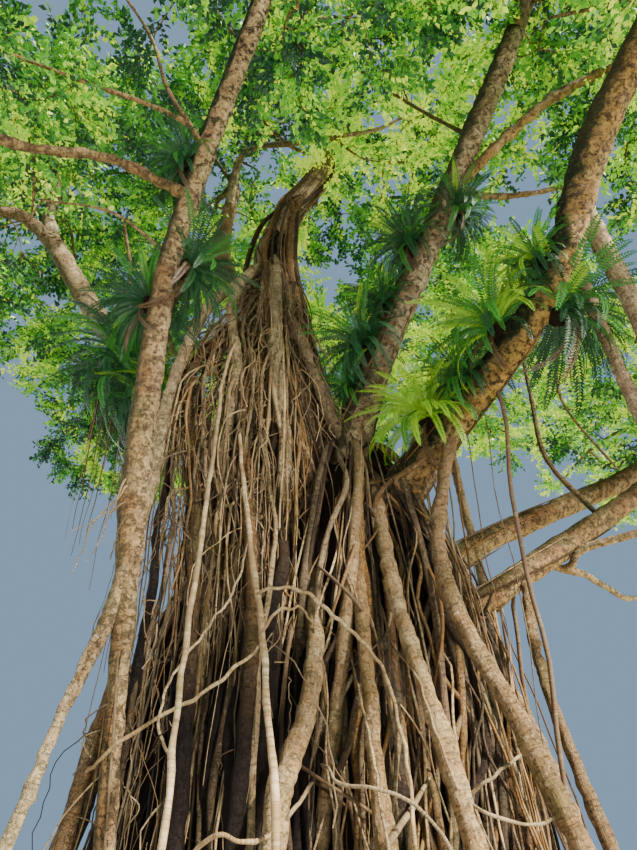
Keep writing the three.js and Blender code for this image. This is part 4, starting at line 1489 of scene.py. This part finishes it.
# %% [markdown]
# ## The spaces of the crown
#
# Each bough carries one mass of foliage, and each mass keeps to its own space: a rounded form round
# its middle, less whatever lies nearer to a neighbour. Twigs are grown by a rule. Places to reach
# for are spread through the space, and each twig grows to its place from the cheapest spot on what
# has grown so far, where turning back costs extra. The packed solids hold the stem and the first
# six twigs. Here the same rule goes on to many finer ones inside the same reach.

# %% Masses of foliage: bough, middle, half width and half height
MASSES = {
    "crown_top": ("middle_bough", [900, 300, 14000], [3500, 2700]),
    "crown_back_top": ("back_upright_bough", [-2500, 2000, 14000], [3400, 2600]),
    "crown_right_top": ("tall_right_bough", [4000, -2700, 13900], [3300, 2500]),
    "crown_right_shoulder": ("right_branch", [6400, -2300, 11500], [3000, 2300]),
    "crown_front": ("left_stem", [-900, -5000, 11500], [3500, 2400]),
    "crown_right_front": ("leaning_right_bough", [4600, -5700, 10700], [3300, 2400]),
    "crown_right": ("low_right_bough", [7200, 200, 8300], [3200, 2400]),
    "crown_right_back": ("low_right_back_bough", [7000, 3900, 9300], [3300, 2600]),
    "crown_back_right": ("back_right_bough", [3600, 4700, 12000], [3600, 2900]),
    "crown_back": ("back_bough", [0, 6400, 11300], [3400, 2700]),
    "crown_back_left": ("back_left_bough", [-4400, 5400, 10700], [3500, 2700]),
    "crown_left_top": ("left_bough_upright", [-5200, 900, 13500], [3200, 2400]),
    "crown_left": ("left_bough_arm", [-7300, 100, 10500], [3100, 2600]),
    "crown_left_front": ("left_branch", [-5200, -4100, 9800], [3400, 2500]),
}
MIDDLES = np.array([middle for _, middle, _ in MASSES.values()]) * MILLIMETRE
SIZES = np.array([size for _, _, size in MASSES.values()]) * MILLIMETRE
SPACE_GAP = 0.06
GOLDEN_ANGLE = math.pi * (3 - math.sqrt(5))


def inside_space(index, places, margin):
    """Whether places are in a mass's own space. margin keeps two spaces apart."""
    middle, (half_width, half_height) = MIDDLES[index], SIZES[index]
    offset = places - middle
    flat = np.hypot(offset[:, 0], offset[:, 1]) / half_width
    inside = np.hypot(flat, offset[:, 2] / half_height) <= 1
    power = np.sum((places[:, None] - MIDDLES) ** 2, axis=-1) - SIZES[:, 0] ** 2
    apart = np.linalg.norm(MIDDLES - middle, axis=-1)
    clear = power - power[:, index : index + 1] > 2 * margin * apart
    clear[:, index] = True
    return inside & clear.all(axis=1)


def inside_box(places, margin):
    """Whether places are inside the solids' box, widened by margin metres."""
    low, high = np.array(cad_low) - margin, np.array(cad_high) + margin
    return np.all((places > low) & (places < high), axis=1)


print("masses:", len(MASSES))

# %% Places to reach for
FIRST_TWIGS = 6
FIRST_REACH = [0.8, 0.6, 0.84]
FINE_PER_CUBIC_METRE = 2.75
FINE_REACH = (0.95, 0.87)
BOX_MARGIN = 0.1
# Shares of the way out in a mass, and the share of places kept there.
FILL = ([0.2, 0.55, 0.9], [0.12, 0.6, 1.0])
# The crown is open where lumps of this size are lower than this.
GAP_SIZE = 2.6
SKY_GAPS = -0.75


def first_reaches(index):
    """The places that the first few twigs reach for, as in the packed solids."""
    tried = 3 * FIRST_TWIGS
    order = np.arange(tried)
    level = 1 - 2 * (order + 0.5) / tried
    turns = GOLDEN_ANGLE * order + index
    reach = np.array(FIRST_REACH)[order % 3]
    flat = np.sqrt(1 - level**2) * reach * SIZES[index, 0]
    rise = level * reach * SIZES[index, 1]
    places = MIDDLES[index] + outwards(turns) * flat[:, None] + np.outer(rise, UP)
    places = places[inside_space(index, places, SPACE_GAP)]
    steps = np.arange(len(places) + 1) * FIRST_TWIGS // len(places)
    return places[steps[1:] > steps[:-1]]


def fine_reaches(index, rng):
    """Places for the fine twigs: even through the space, thinner within, open where sky shows."""
    half_width, half_height = SIZES[index]
    tried = int(FINE_PER_CUBIC_METRE * 4 / 3 * math.pi * half_width**2 * half_height)
    share = rng.uniform(0, 1, tried) ** (1 / 3)
    reach = (SIZES[index] * FINE_REACH)[[0, 0, 1]]
    places = MIDDLES[index] + unit(rng.normal(size=(tried, 3))) * share[:, None] * reach
    kept = inside_space(index, places, SPACE_GAP) & inside_box(places, BOX_MARGIN)
    kept &= rng.uniform(0, 1, tried) < np.interp(share, *FILL)
    kept &= lumps(places, GAP_SIZE, 77) > SKY_GAPS
    return places[kept]


print("first places of the crown's top:", len(first_reaches(0)))

# %% The rule by which twigs grow
TWIG_BOW = 0.14
TURN_COST = 0.6
STEM_BEND = 0.45
STEM_END = 0.75


def grow(targets, twigs, spots):
    """Grows a twig to each target in turn. A twig is its three places and its parent."""
    for target in targets:
        places = np.array([spot[0] for spot in spots])
        ways = np.array([spot[1] for spot in spots])
        steps = target - places
        lengths = np.linalg.norm(steps, axis=1) + 1e-9
        turning = 1 - np.sum(steps * ways, axis=1) / lengths
        best = int(np.argmin(lengths * (1 + TURN_COST * turning)))
        foot, heading, parent = spots[best]
        bend = (foot + target) / 2 + heading * TWIG_BOW * lengths[best]
        onward = unit(target - bend)
        twigs.append((np.array([foot, bend, target]), parent))
        spots += [(bend, onward, len(twigs) - 1), (target, onward, len(twigs) - 1)]


def grow_mass(index, name, rng):
    """The stem, first twigs and fine twigs of a mass, and the radius of its bough's tip."""
    route, radii = BOUGHS[MASSES[name][0]]
    before, tip = curve(route, np.array([0.9999, 1.0]))
    way = unit(tip - before)
    middle = MIDDLES[index]
    bend = tip + way * STEM_BEND * np.linalg.norm(middle - tip)
    end = bend + (middle - bend) * STEM_END
    twigs = [(np.array([tip, bend, end]), -1)]
    spots = [(bend, way, 0), (end, unit(end - bend), 0)]
    for targets in (first_reaches(index), fine_reaches(index, rng)):
        order = np.argsort(np.linalg.norm(targets - tip, axis=1), kind="stable")
        grow(targets[order], twigs, spots)
    return twigs, radii[-1] * MILLIMETRE


rng = default_rng(34)
crown = {name: grow_mass(index, name, rng) for index, name in enumerate(MASSES)}
print("twigs:", sum(len(twigs) for twigs, _ in crown.values()))

# %% [markdown]
# ## Twigs
#
# A twig is as thick as what it carries: the area of its section follows from the number of twigs
# beyond it, as in a real tree. The stems and first twigs are tubes of bark like the boughs that
# they grow on from. The fine ones are lines thickened by the same Geometry Nodes as the roots.

# %% Stems and twigs
STEM_WIDTHS = (0.75, 0.05)
STEM_STEPS = 40
FIRST_TWIG_RADII = (0.047, 0.018)
FIRST_STEPS = 16
FINE_TWIG = 0.006
FINE_STEPS = 5
THICKEST_FINE = 0.03
TWIG_LOOK = (0.4, 0.1, 0.5)


def twig_line(places, steps):
    """A smooth line through the three places of a twig."""
    return curve(places / MILLIMETRE, evenly(steps))


stems = Bundle()
fine = Strands()
for twigs, stem_radius in crown.values():
    carried = np.ones(len(twigs))
    for child in range(len(twigs) - 1, 0, -1):
        carried[twigs[child][1]] += carried[child]
    stem_radii = [stem_radius, STEM_WIDTHS[0] * stem_radius, STEM_WIDTHS[1]]
    stem_line = twig_line(twigs[0][0], STEM_STEPS)
    stems.tube(stem_line, along(stem_radii, evenly(STEM_STEPS)), 12, PLAIN_LOOK, 0.008)
    for order, (places, _) in enumerate(twigs[1:], 1):
        if order <= FIRST_TWIGS:
            radii = np.linspace(*FIRST_TWIG_RADII, FIRST_STEPS)
            stems.tube(twig_line(places, FIRST_STEPS), radii, 7, TWIG_LOOK, 0.004, 0.2, order)
        else:
            foot = min(THICKEST_FINE, FINE_TWIG * carried[order] ** 0.5 + 0.003)
            radii = np.linspace(foot, 0.6 * FINE_TWIG, FINE_STEPS)
            fine.add(twig_line(places, FINE_STEPS), radii, TWIG_LOOK)
dress(stems.piece("crown_stems", BARK), "bark", *MASSES)
dress(fine.piece("fine_twigs", 3, BARK), "bark", *MASSES)

# %% [markdown]
# ## Sprays of leaves
#
# A fig's leaves stand one after the other on the last few twigs, so the spray is what repeats: a
# twiglet and twenty leaves. A leaf is widest before its middle, draws to a point and is folded a
# little along its midrib. Four different sprays are made once, and Geometry Nodes set thousands of
# copies on points, turned to the point's heading and facing, and then make the copies real.
#
# The leaves' colours are plain, because light does the rest on something so small. The left and the
# right half of a spray are each dealt one of five greens, by where they are in the crown, as
# painted
# light and shade: yellow-green where the sun falls, deep and bluish in the shade.

# %% Leaf and spray shapes
LEAF_LENGTH = 0.094
SPRAY_LENGTH = 0.38
SPRAY_LEAVES = 20
SPRAY_KINDS = 4
TWIGLET_RADIUS = 0.005
LEAF_OUTLINE = np.array([[0, 0, 0], [0.45, -0.3, 0.07], [1, 0, -0.05], [0.45, 0.3, 0.07]])
LEAF_FACES = np.array([[0, 1, 2], [0, 2, 3]])


def turned(way, up):
    """A matrix whose rows are a way, its side and its upward direction."""
    way = unit(way)
    side = unit(np.cross(up, way))
    return np.array([way, side, np.cross(way, side)])


def shape_object(name, places, faces):
    """A shape for copies, which is kept out of the scene."""
    mesh = bpy.data.meshes.new(name)
    mesh.from_pydata(np.asarray(places).tolist(), [], faces)
    return bpy.data.objects.new(name, mesh)


def spray_halves(kind):
    """The leaves of a spray along x, as one shape for each hand."""
    rng = default_rng(100 + kind)
    places = [[], []]
    for leaf in range(SPRAY_LEAVES):
        share = (leaf + 1) / SPRAY_LEAVES
        hand = leaf % 2
        spread = (1.3 - 1.0 * share) * (2 * hand - 1) + rng.normal(0, 0.5)
        way = np.array([math.cos(spread), math.sin(spread), rng.normal(-0.2, 0.6)])
        up = np.array([rng.normal(0, 0.75), rng.normal(0, 0.75), 1])
        length = LEAF_LENGTH * rng.uniform(0.7, 1.2)
        foot = np.array([SPRAY_LENGTH * share, *rng.normal(0, 0.025, 2)])
        places[hand].append(foot + length * LEAF_OUTLINE @ turned(way, up))
    starts = len(LEAF_OUTLINE) * np.arange(SPRAY_LEAVES // 2)
    faces = (starts[:, None, None] + LEAF_FACES).reshape(-1, 3).tolist()
    return [shape_object(f"spray_{kind}_{hand}", np.vstack(places[hand]), faces) for hand in (0, 1)]


def three_corners(radius):
    """The section of a thin rib that runs along x."""
    return radius * np.roll(outwards(around(3)), 1, axis=1)


def twiglet_shape():
    """The twiglet of a spray: three thin sides that draw to a point."""
    places = np.vstack([three_corners(TWIGLET_RADIUS), [SPRAY_LENGTH, 0, 0]])
    return shape_object("twiglet", places, [[2, 1, 0], [0, 1, 3], [1, 2, 3], [2, 0, 3]])


sprays_made = sum([spray_halves(kind) for kind in range(SPRAY_KINDS)], [])
print("half sprays:", [shape.name for shape in sprays_made])


# %% The tree of nodes that sets copies on points
def scattering_tree():
    kinds = {"Points": "Geometry", "Shapes": "Collection", "Skin": "Material"}
    tree, given = new_tree("set_copies", kinds, "Copies")
    shapes = add_node(tree, "GeometryNodeCollectionInfo", {
        "Collection": given["Shapes"], "Separate Children": True, "Reset Children": True,
    })
    headed = add_node(tree, "FunctionNodeAlignRotationToVector", {
        "Vector": named(tree, "heading", "FLOAT_VECTOR"),
    }, axis="X")
    faced = add_node(tree, "FunctionNodeAlignRotationToVector", {
        "Rotation": headed.outputs[0], "Vector": named(tree, "facing", "FLOAT_VECTOR"),
    }, axis="Z", pivot_axis="X")
    copies = add_node(tree, "GeometryNodeInstanceOnPoints", {
        "Points": given["Points"],
        "Instance": shapes.outputs[0],
        "Pick Instance": True,
        "Instance Index": named(tree, "kind", "INT"),
        "Rotation": faced.outputs[0],
        "Scale": named(tree, "size", "FLOAT"),
    })
    finished(tree, copies.outputs[0], given["Skin"])
    return tree


SCATTER = scattering_tree()


def copies_piece(name, points, shapes, skin):
    """A copy of one of the shapes on each point, as one piece."""
    attributes = {key: points[key] for key in ("heading", "facing", "size", "kind")}
    carrier = points_object(name + "_points", points["place"], [], attributes)
    return made_real(carrier, SCATTER, {"Shapes": shapes, "Skin": skin}, name)


def shelf(name, shapes):
    """A collection of shapes."""
    made = bpy.data.collections.new(name)
    for shape in shapes:
        made.objects.link(shape)
    return made


def chosen(points, which):
    return {key: values[which] for key, values in points.items()}


# %% What the leaves keep clear of
# The limbs that show through the crown from the foot of the tree, and how far aside leaves keep.
# The leader shows only as far as its third place.
VIEWER = np.array([0, -8, 1.6])
VIEW_TILT = math.radians(32)
SHOWN_LIMBS = [BOUGHS[name] for name in (
    "left_bough", "left_bough_upright", "left_bough_arm", "back_upright_bough",
    "tall_right_bough", "leaning_right_bough", "right_branch", "left_branch", "left_stem",
)]
SHOWN_LIMBS += [
    (BOUGHS["middle_bough"][0][:3], BOUGHS["middle_bough"][1]),
    (CROSSING_BRANCH[0][:5], CROSSING_BRANCH[1]), (CROSSING_BRANCH[0][6:], [40]),
]
ASIDE = (0.05, 0.5)
# The middles and radii, in pixels of a view 637 wide, of the openings where sky shows.
SKY_WINDOWS = [
    (142, 105, 20), (214, 198, 15), (15, 235, 26), (278, 100, 17), (95, 40, 10), (318, 285, 16),
    (385, 185, 12), (572, 18, 14), (340, 215, 10), (20, 410, 18), (470, 235, 10), (60, 190, 10),
]
SKY_SHARE = 0.85
WINDOW_EDGE = (0.8, 1.3)
VIEW_MIDDLE = (318.5, 425)
VIEW_REACH = 638


def in_window(rng, places):
    """Whether places lie in an opening. A few stay, so it is ragged."""
    x, y, z = (places - VIEWER).T
    ahead = y * math.cos(VIEW_TILT) + z * math.sin(VIEW_TILT)
    rise = z * math.cos(VIEW_TILT) - y * math.sin(VIEW_TILT)
    across = VIEW_MIDDLE[0] + VIEW_REACH * x / ahead
    down = VIEW_MIDDLE[1] - VIEW_REACH * rise / ahead
    inside = np.zeros(len(places), bool)
    for u, v, radius in SKY_WINDOWS:
        inside |= np.hypot(across - u, down - v) < radius * rng.uniform(*WINDOW_EDGE, len(places))
    return inside & (ahead > 0) & (rng.uniform(0, 1, len(places)) < SKY_SHARE)


def before_bough(rng, places):
    """Whether places would hide a limb that shows. The gap's edge is ragged."""
    reach = np.linalg.norm(places - VIEWER, axis=1)
    ways = unit(places - VIEWER)
    aside = rng.uniform(*ASIDE, len(places))
    before = np.zeros(len(places), bool)
    for route, radii in SHOWN_LIMBS:
        line = curve(route, evenly(LENGTH_STEPS)) - VIEWER
        far = np.linalg.norm(line, axis=1)
        angles = np.arccos(np.clip(ways @ unit(line).T, -1, 1))
        close = angles * far < aside[:, None] + max(radii) * MILLIMETRE
        before |= (close & (reach[:, None] < far)).any(axis=1)
    return before


print("limbs that show:", len(SHOWN_LIMBS), "openings:", len(SKY_WINDOWS))

# %% Where the sprays sit
SPRAYS_PER_TWIG = 9
SPRAY_SHARES = np.append(np.linspace(0.3, 0.97, SPRAYS_PER_TWIG - 1), 1.0)
TWIG_STEPS = 30
TIP_MARGIN = 0.29
# Sprays are larger towards the top and the rim, far from whoever stands below: the height plus a
# quarter of the reach, then the scale.
FAR_SPRAYS = ([11.5, 15.5], [1.0, 1.3])


def spray_points():
    """The place, heading, facing, size and kind of each spray of the crown."""
    rng = default_rng(55)
    rows = []
    for index, (twigs, _) in enumerate(crown.values()):
        for line, _ in twigs[1:]:
            spots = twig_line(line, TWIG_STEPS + 1)[(SPRAY_SHARES * TWIG_STEPS).astype(int)]
            way = unit(line[2] - line[0])
            out = unit(line[2] - MIDDLES[index])
            side = unit(np.cross(way, UP) + 0.01)
            for order, spot in enumerate(spots):
                hand = 1 if order % 2 else -1
                spread = 0 if order == SPRAYS_PER_TWIG - 1 else 0.9 * hand
                heading = way + side * spread + 0.3 * out + rng.normal(0, 0.35, 3)
                facing = UP + 0.45 * out + rng.normal(0, 0.4, 3)
                rows.append((spot, unit(heading - 0.25 * UP), unit(facing)))
    places, headings, facings = (np.array(values) for values in zip(*rows))
    sizes = rng.uniform(0.8, 1.2, len(places))
    kinds = rng.integers(0, SPRAY_KINDS, len(places))
    high = places[:, 2] + 0.25 * np.linalg.norm(places[:, :2], axis=1)
    sizes *= np.interp(high, *FAR_SPRAYS)
    kept = inside_box(places + headings * (SPRAY_LENGTH * sizes)[:, None], TIP_MARGIN)
    kept &= ~before_bough(rng, places) & ~in_window(rng, places)
    every = dict(place=places, heading=headings, facing=facings, size=sizes, kind=kinds)
    return chosen(every, kept)


sprays = spray_points()
print("sprays on twigs:", len(sprays["place"]))

# %% [markdown]
# Sprays also sprout straight from old wood: from the head of the leader and the stem that it
# carries, and from the free end of the lower limb of the fork.

# %% Sprouts
LEADER_SPROUTS = 150
LEADER_SHARE = 0.62
LOW_SPROUTS = 22
LOW_SHARE = 0.86
SPROUT_SIZES = (0.7, 1.15)
SPROUT_LEAN = (0, -0.5, -0.2)


def sprout_points(rng, places, number, radius):
    """Sprays that sprout all round a line of places, radius metres off it."""
    out = unit(rng.normal(size=(number, 3)) + SPROUT_LEAN)
    return dict(
        place=places[rng.integers(0, len(places), number)] + radius * out,
        heading=unit(out + rng.normal(0, 0.3, (number, 3))),
        facing=unit(rng.normal(0, 0.5, (number, 3)) + UP),
        size=rng.uniform(*SPROUT_SIZES, number),
        kind=rng.integers(0, SPRAY_KINDS, number),
    )


def gathered(groups):
    return {key: np.concatenate([group[key] for group in groups]) for key in groups[0]}


rng = default_rng(56)
leader_head = np.vstack([
    curve(BOUGHS["middle_bough"][0], np.linspace(LEADER_SHARE, 1, 20)),
    twig_line(crown["crown_top"][0][0][0], STEM_STEPS)[:24],
])
leader_radius = BOUGHS["middle_bough"][1][-1] * MILLIMETRE
low_end = curve(FORKED_BRANCHES[0][0], np.linspace(LOW_SHARE, 1, 24))
sprays = gathered([
    sprays,
    sprout_points(rng, leader_head, LEADER_SPROUTS, leader_radius),
    sprout_points(rng, low_end, LOW_SPROUTS, 0.0),
])
print("sprays:", len(sprays["place"]))

# %% Greens: colour, share of the crown, and how much it glows, as painted light through the leaf
GREENS = {
    "leaves_shaded": ((0.007, 0.055, 0.019), 0.16, 0.15),
    "leaves_deep": ((0.024, 0.15, 0.016), 0.2, 0.25),
    "leaves_green": ((0.085, 0.31, 0.02), 0.23, 0.35),
    "leaves_bright": ((0.24, 0.52, 0.026), 0.22, 0.42),
    "leaves_sunlit": ((0.56, 0.72, 0.045), 0.19, 0.48),
}
HALVES_PER_PIECE = 9200


def plain_finish(name, colour, roughness=0.5, painted_glow=0.0):
    """One colour. The last number is painted light: the share of the colour that glows, as if a
    leaf let light through from its lit side.
    """
    finish = Finish(name)
    finish.surface(Emission_Color=opaque(colour), Emission_Strength=painted_glow)
    return finish.surface(Base_Color=opaque(colour), Roughness=roughness)


spray_shelf = shelf("spray_shapes", sprays_made)
rng = default_rng(89)
halves = {key: np.repeat(values, 2, axis=0) for key, values in sprays.items()}
halves["kind"] = 2 * halves["kind"] + np.arange(len(halves["kind"])) % 2
place = halves["place"]
# The greens are painted light and shade, dealt by this mask: lumps, a lean towards the sun, and
# noise.
sunlit = (
    0.6 * lumps(place, 3.2, 17) + 0.45 * lumps(place, 0.9, 18) + 0.06 * place[:, 0]
    + rng.normal(0, 0.62, len(place))
)
rank = np.argsort(np.argsort(sunlit)) / len(sunlit)
start = 0.0
for name, (colour, share, painted_glow) in GREENS.items():
    tint = chosen(halves, (rank >= start) & (rank < start + share))
    start += share
    skin = plain_finish(name, colour, 0.45, painted_glow)
    parts = math.ceil(len(tint["place"]) / HALVES_PER_PIECE)
    for part in range(parts):
        spread = chosen(tint, slice(part, None, parts))
        leaves = copies_piece(f"{name}_{part + 1}", spread, spray_shelf, skin)
        dress(leaves, "foliage", *MASSES)

# %% Twiglets
twiglet_shelf = shelf("twiglet_shapes", [twiglet_shape()])
twiglet_skin = plain_finish("twiglet_bark", (0.07, 0.045, 0.02), 0.8)
twiglet_points = dict(sprays, kind=0 * sprays["kind"])
twiglets = copies_piece("twiglets", twiglet_points, twiglet_shelf, twiglet_skin)
dress(twiglets, "bark", *MASSES)

# %% [markdown]
# ## Ferns on the boughs
#
# Ferns sit in the forks and along the boughs. A clump is a heart of old roots with some seventy
# fronds. A frond is a rib with short leaflets on both sides, close enough to read as one strap with
# a toothed edge, and its arc depends on its place: the middle ones rise, the outer ones arch over,
# and the lowest hang. Three fronds are made once, and the same nodes that set the sprays set them
# round each heart.

# %% Ferns: bough, share along it, side, scale, how far the outer fronds fall, share that is lit
FERNS = {
    "fern_1": ("leaning_right_bough", 0.27, (-0.75, -0.3, 0.55), 1.0, 0.1, 0.75),
    "fern_2": ("leaning_right_bough", 0.42, (-0.8, -0.1, 0.6), 1.05, 0.1, 0.42),
    "fern_3": ("leaning_right_bough", 0.46, (0.9, -0.2, -0.1), 1.15, 0.45, 0.22),
    "fern_4": ("tall_right_bough", 0.43, (-0.95, -0.2, 0.2), 0.95, 0.3, 0.1),
    "fern_5": ("tall_right_bough", 0.6, (-0.9, -0.3, 0.3), 0.85, 0.3, 0.1),
    "fern_6": ("tall_right_bough", 0.66, (0.9, -0.2, 0.2), 0.8, 0.3, 0.15),
    "fern_7": ("left_stem", 0.73, (0.8, 0.5, 0.1), 0.85, 0.6, 0.1),
    "fern_8": ("left_bough", 0.62, (-0.3, -0.9, -0.2), 1.4, 1.2, 0.05),
}
SMALL_FERNS = [
    ("tall_right_bough", 0.36, (-0.95, -0.25, 0.2), 0.6, 0.5, 0.15),
    ("tall_right_bough", 0.5, (-0.95, -0.2, 0.3), 0.7, 0.4, 0.1),
    ("leaning_right_bough", 0.34, (-0.8, -0.25, 0.6), 0.7, 0.3, 0.2),
    ("leaning_right_bough", 0.52, (-0.7, -0.2, 0.7), 0.65, 0.3, 0.3),
    ("left_stem", 0.83, (-0.8, -0.4, 0.3), 0.6, 0.5, 0.1),
    ("left_bough", 0.5, (-0.5, -0.8, 0.2), 0.7, 0.6, 0.5),
    ("left_bough", 0.56, (-0.8, -0.55, -0.5), 1.3, 1.4, 0.05),
    ("left_bough", 0.49, (-0.85, -0.4, -0.6), 1.2, 1.5, 0.05),
    ("left_stem", 0.68, (-0.85, 0.5, 0.1), 0.75, 0.4, 0.1),
]
CLUMPS = list(FERNS.values()) + SMALL_FERNS
FERN_SEAT = 0.05
FERN_TILT = 0.6


def fern_heart(bough, share, side, scale):
    """The middle of a clump, the axis that it grows along and the way out from its bough."""
    route, radii = BOUGHS[bough]
    out = unit(np.array(side))
    middle = curve(route, np.array([share]))[0]
    middle = middle + out * (along(radii, share) * MILLIMETRE + FERN_SEAT * scale)
    return middle, unit(UP + FERN_TILT * out), out


print("clumps:", len(CLUMPS))

# %% Frond shapes
FROND_LENGTH = 0.98
FROND_PAIRS = 31
LEAFLET = (0.064, 0.0165)
RIB_RADIUS = 0.006
# How steeply each kind of frond sets off, and how far it bends down by its tip, in radians.
FROND_ARCS = [(0.3, 1.4), (0.3, 2.0), (0.1, 1.2)]


def frond_shape(kind, rise, bend):
    """A frond along x: a three-sided rib, and pairs of leaflets of two triangles each."""
    rng = default_rng(200 + kind)
    slopes = rise - bend * evenly(FROND_PAIRS + 1)
    steps = np.column_stack([np.cos(slopes), 0 * slopes, np.sin(slopes)])
    rib = np.vstack([np.zeros(3), np.cumsum(steps[:-1], axis=0)]) * FROND_LENGTH / FROND_PAIRS
    places, faces = [], []
    for order in range(1, FROND_PAIRS + 1):
        share = order / FROND_PAIRS
        length = LEAFLET[0] * min(1, 0.35 + 2.5 * share) * (1 - share**3) ** 0.6 + 0.012
        across = unit(steps[order]) * LEAFLET[1]
        for hand in (-1, 1):
            way = unit(steps[order] * 0.55 + np.array([0, hand, 0]) + rng.normal(0, 0.06, 3))
            middle = rib[order] + way * length * 0.5
            tip = rib[order] + way * length - (0, 0, 0.2 * length)
            first = len(places)
            places += [rib[order], middle - across, tip, middle + across]
            faces.append([first + k for k in ((0, 1, 2, 3) if hand > 0 else (0, 3, 2, 1))])
    for order in range(0, FROND_PAIRS, 5):
        ring = len(places)
        places += list(rib[order] + three_corners(RIB_RADIUS * (1 - 0.7 * order / FROND_PAIRS)))
        if order:
            for k, after in ((0, 1), (1, 2), (2, 0)):
                faces.append([ring - 3 + k, ring - 3 + after, ring + after, ring + k])
    return shape_object(f"frond_{kind}", places, faces)


fronds_made = [frond_shape(kind, *arc) for kind, arc in enumerate(FROND_ARCS)]
frond_shelf = shelf("frond_shapes", fronds_made)
print("fronds:", [(shape.name, len(shape.data.polygons)) for shape in fronds_made])

# %% Fronds round each heart
FRONDS = 84
DEAD_FRONDS = 8
LIVE_SLOPES = (-0.1, 1.2)
DEAD_SLOPES = (-1.1, -0.5)


def clump_points(rng, number, slopes, bough, share, side, scale, fall, lit):
    """Fronds spread round a heart by the golden angle. None points back into the bough."""
    middle, axis, out = fern_heart(bough, share, side, scale)
    first = unit(np.cross(axis, (0.3, 1, 0.1)))
    second = np.cross(axis, first)
    facing = unit(axis + 0.4 * UP)
    low, high = slopes
    rows = []
    for order in range(number):
        level = (order + 0.5) / number
        slope = high + (low - fall * 0.7 - high) * level
        turn = GOLDEN_ANGLE * order
        flat = first * math.cos(turn) + second * math.sin(turn)
        heading = flat * math.cos(slope) + axis * math.sin(slope)
        heading[2] -= fall * 0.35 * level
        heading += rng.normal(0, 0.07, 3)
        if heading.dot(out) < -0.35:
            continue
        size = scale * rng.uniform(0.75, 1.15)
        kind = 0 if level < 0.35 else 1 if level < 0.7 or fall < 0.4 else 2
        light = lit + 0.35 * (0.5 - level) + rng.normal(0, 0.15)
        rows.append((middle + 0.05 * scale * flat, unit(heading), facing, size, kind, light))
    keys = ("place", "heading", "facing", "size", "kind", "light")
    return {key: np.array(values) for key, values in zip(keys, zip(*rows))}


rng = default_rng(144)
fronds = gathered([clump_points(rng, FRONDS, LIVE_SLOPES, *clump) for clump in CLUMPS])
dead = gathered([clump_points(rng, DEAD_FRONDS, DEAD_SLOPES, *clump) for clump in CLUMPS])
light = fronds["light"]
# Fronds are dealt three greens by how lit they are, as painted light and shade, and each one glows
# a little, as painted light through the frond.
FERN_PAINTED_GLOW = 0.1
FERN_TINTS = {
    "fern_fronds_dark": ((0.011, 0.062, 0.017), chosen(fronds, light < 0.22)),
    "fern_fronds_green": ((0.03, 0.17, 0.016), chosen(fronds, (light >= 0.22) & (light < 0.5))),
    "fern_fronds_light": ((0.25, 0.47, 0.022), chosen(fronds, light >= 0.5)),
    "fern_fronds_dead": ((0.09, 0.05, 0.02), dead),
}
for name, (colour, points) in FERN_TINTS.items():
    skin = plain_finish(name, colour, 0.4, FERN_PAINTED_GLOW)
    dress(copies_piece(name, points, frond_shelf, skin), "fern", *FERNS)

# %% Hearts of the ferns
HEART_RINGS = 12
HEART_RADIUS = 0.13
hearts = Bundle()
for order, (bough, share, side, scale, _, _) in enumerate(CLUMPS):
    middle, axis, _ = fern_heart(bough, share, side, scale)
    rise = np.linspace(-1, 1, HEART_RINGS + 2)[1:-1]
    line = middle + axis * (rise * HEART_RADIUS * scale)[:, None]
    widths = HEART_RADIUS * scale * np.sqrt(1 - rise**2)
    hearts.tube(line, widths, 18, (0.4, 0.1, 0.6), 0.02, 0.07, order)
dress(hearts.piece("fern_hearts", HEART), "fern", *FERNS)

# %% [markdown]
# ## Floor, light and camera
#
# The tree stands on a plain pale floor under a pale sky. The sun is a soft one from the upper
# right. Two weaker ones fill the shade under the crown, one low in front and one from behind.
# The camera stands near the foot of the tree and looks up, as the photograph does.

# %% Floor
FLOOR_REACH = 45
floor_mesh = bpy.data.meshes.new("floor")
corners = [(-1, -1), (1, -1), (1, 1), (-1, 1)]
floor_mesh.from_pydata([(FLOOR_REACH * x, FLOOR_REACH * y, 0) for x, y in corners], [], [range(4)])
floor = in_scene("floor", floor_mesh)
floor_mesh.materials.append(plain_finish("pale_floor", (0.62, 0.61, 0.58), 0.9))
print("floor side:", 2 * FLOOR_REACH, "m")

# %% Lights
SKY_COLOUR = (0.45, 0.7, 1.0, 1)
SKY_STRENGTH = 0.52
# Where each light comes from, its strength, how soft it is in degrees, and its colour.
LIGHTS = {
    "sun": ((0.66, -0.55, 0.75), 12.5, 3, (1.0, 0.93, 0.8)),
    "side_fill": ((0.7, -0.7, 0.22), 3.7, 10, (1.0, 0.94, 0.84)),
    "back_fill": ((-0.6, 0.7, 0.3), 1.2, 40, (0.95, 0.97, 1.0)),
}
for name, (source, strength, softness, colour) in LIGHTS.items():
    light = in_scene(name, bpy.data.lights.new(name, "SUN"))
    light.data.energy = strength
    light.data.angle = math.radians(softness)
    light.data.color = colour
    light.rotation_mode = "QUATERNION"
    light.rotation_quaternion = Vector(source).to_track_quat("Z", "Y")

world = bpy.data.worlds.new("pale_sky")
world.use_nodes = True
sky = world.node_tree.nodes["Background"]
sky.inputs["Color"].default_value = SKY_COLOUR
sky.inputs["Strength"].default_value = SKY_STRENGTH
bpy.context.scene.world = world
print("lights:", list(LIGHTS))

# %% Camera
camera = in_scene("camera", bpy.data.cameras.new("camera"))
camera.location = VIEWER
camera.rotation_euler = (math.pi / 2 + VIEW_TILT, 0, 0)
camera.data.lens = 27
camera.data.sensor_width = 36
bpy.context.scene.camera = camera
print("camera:", tuple(camera.location))
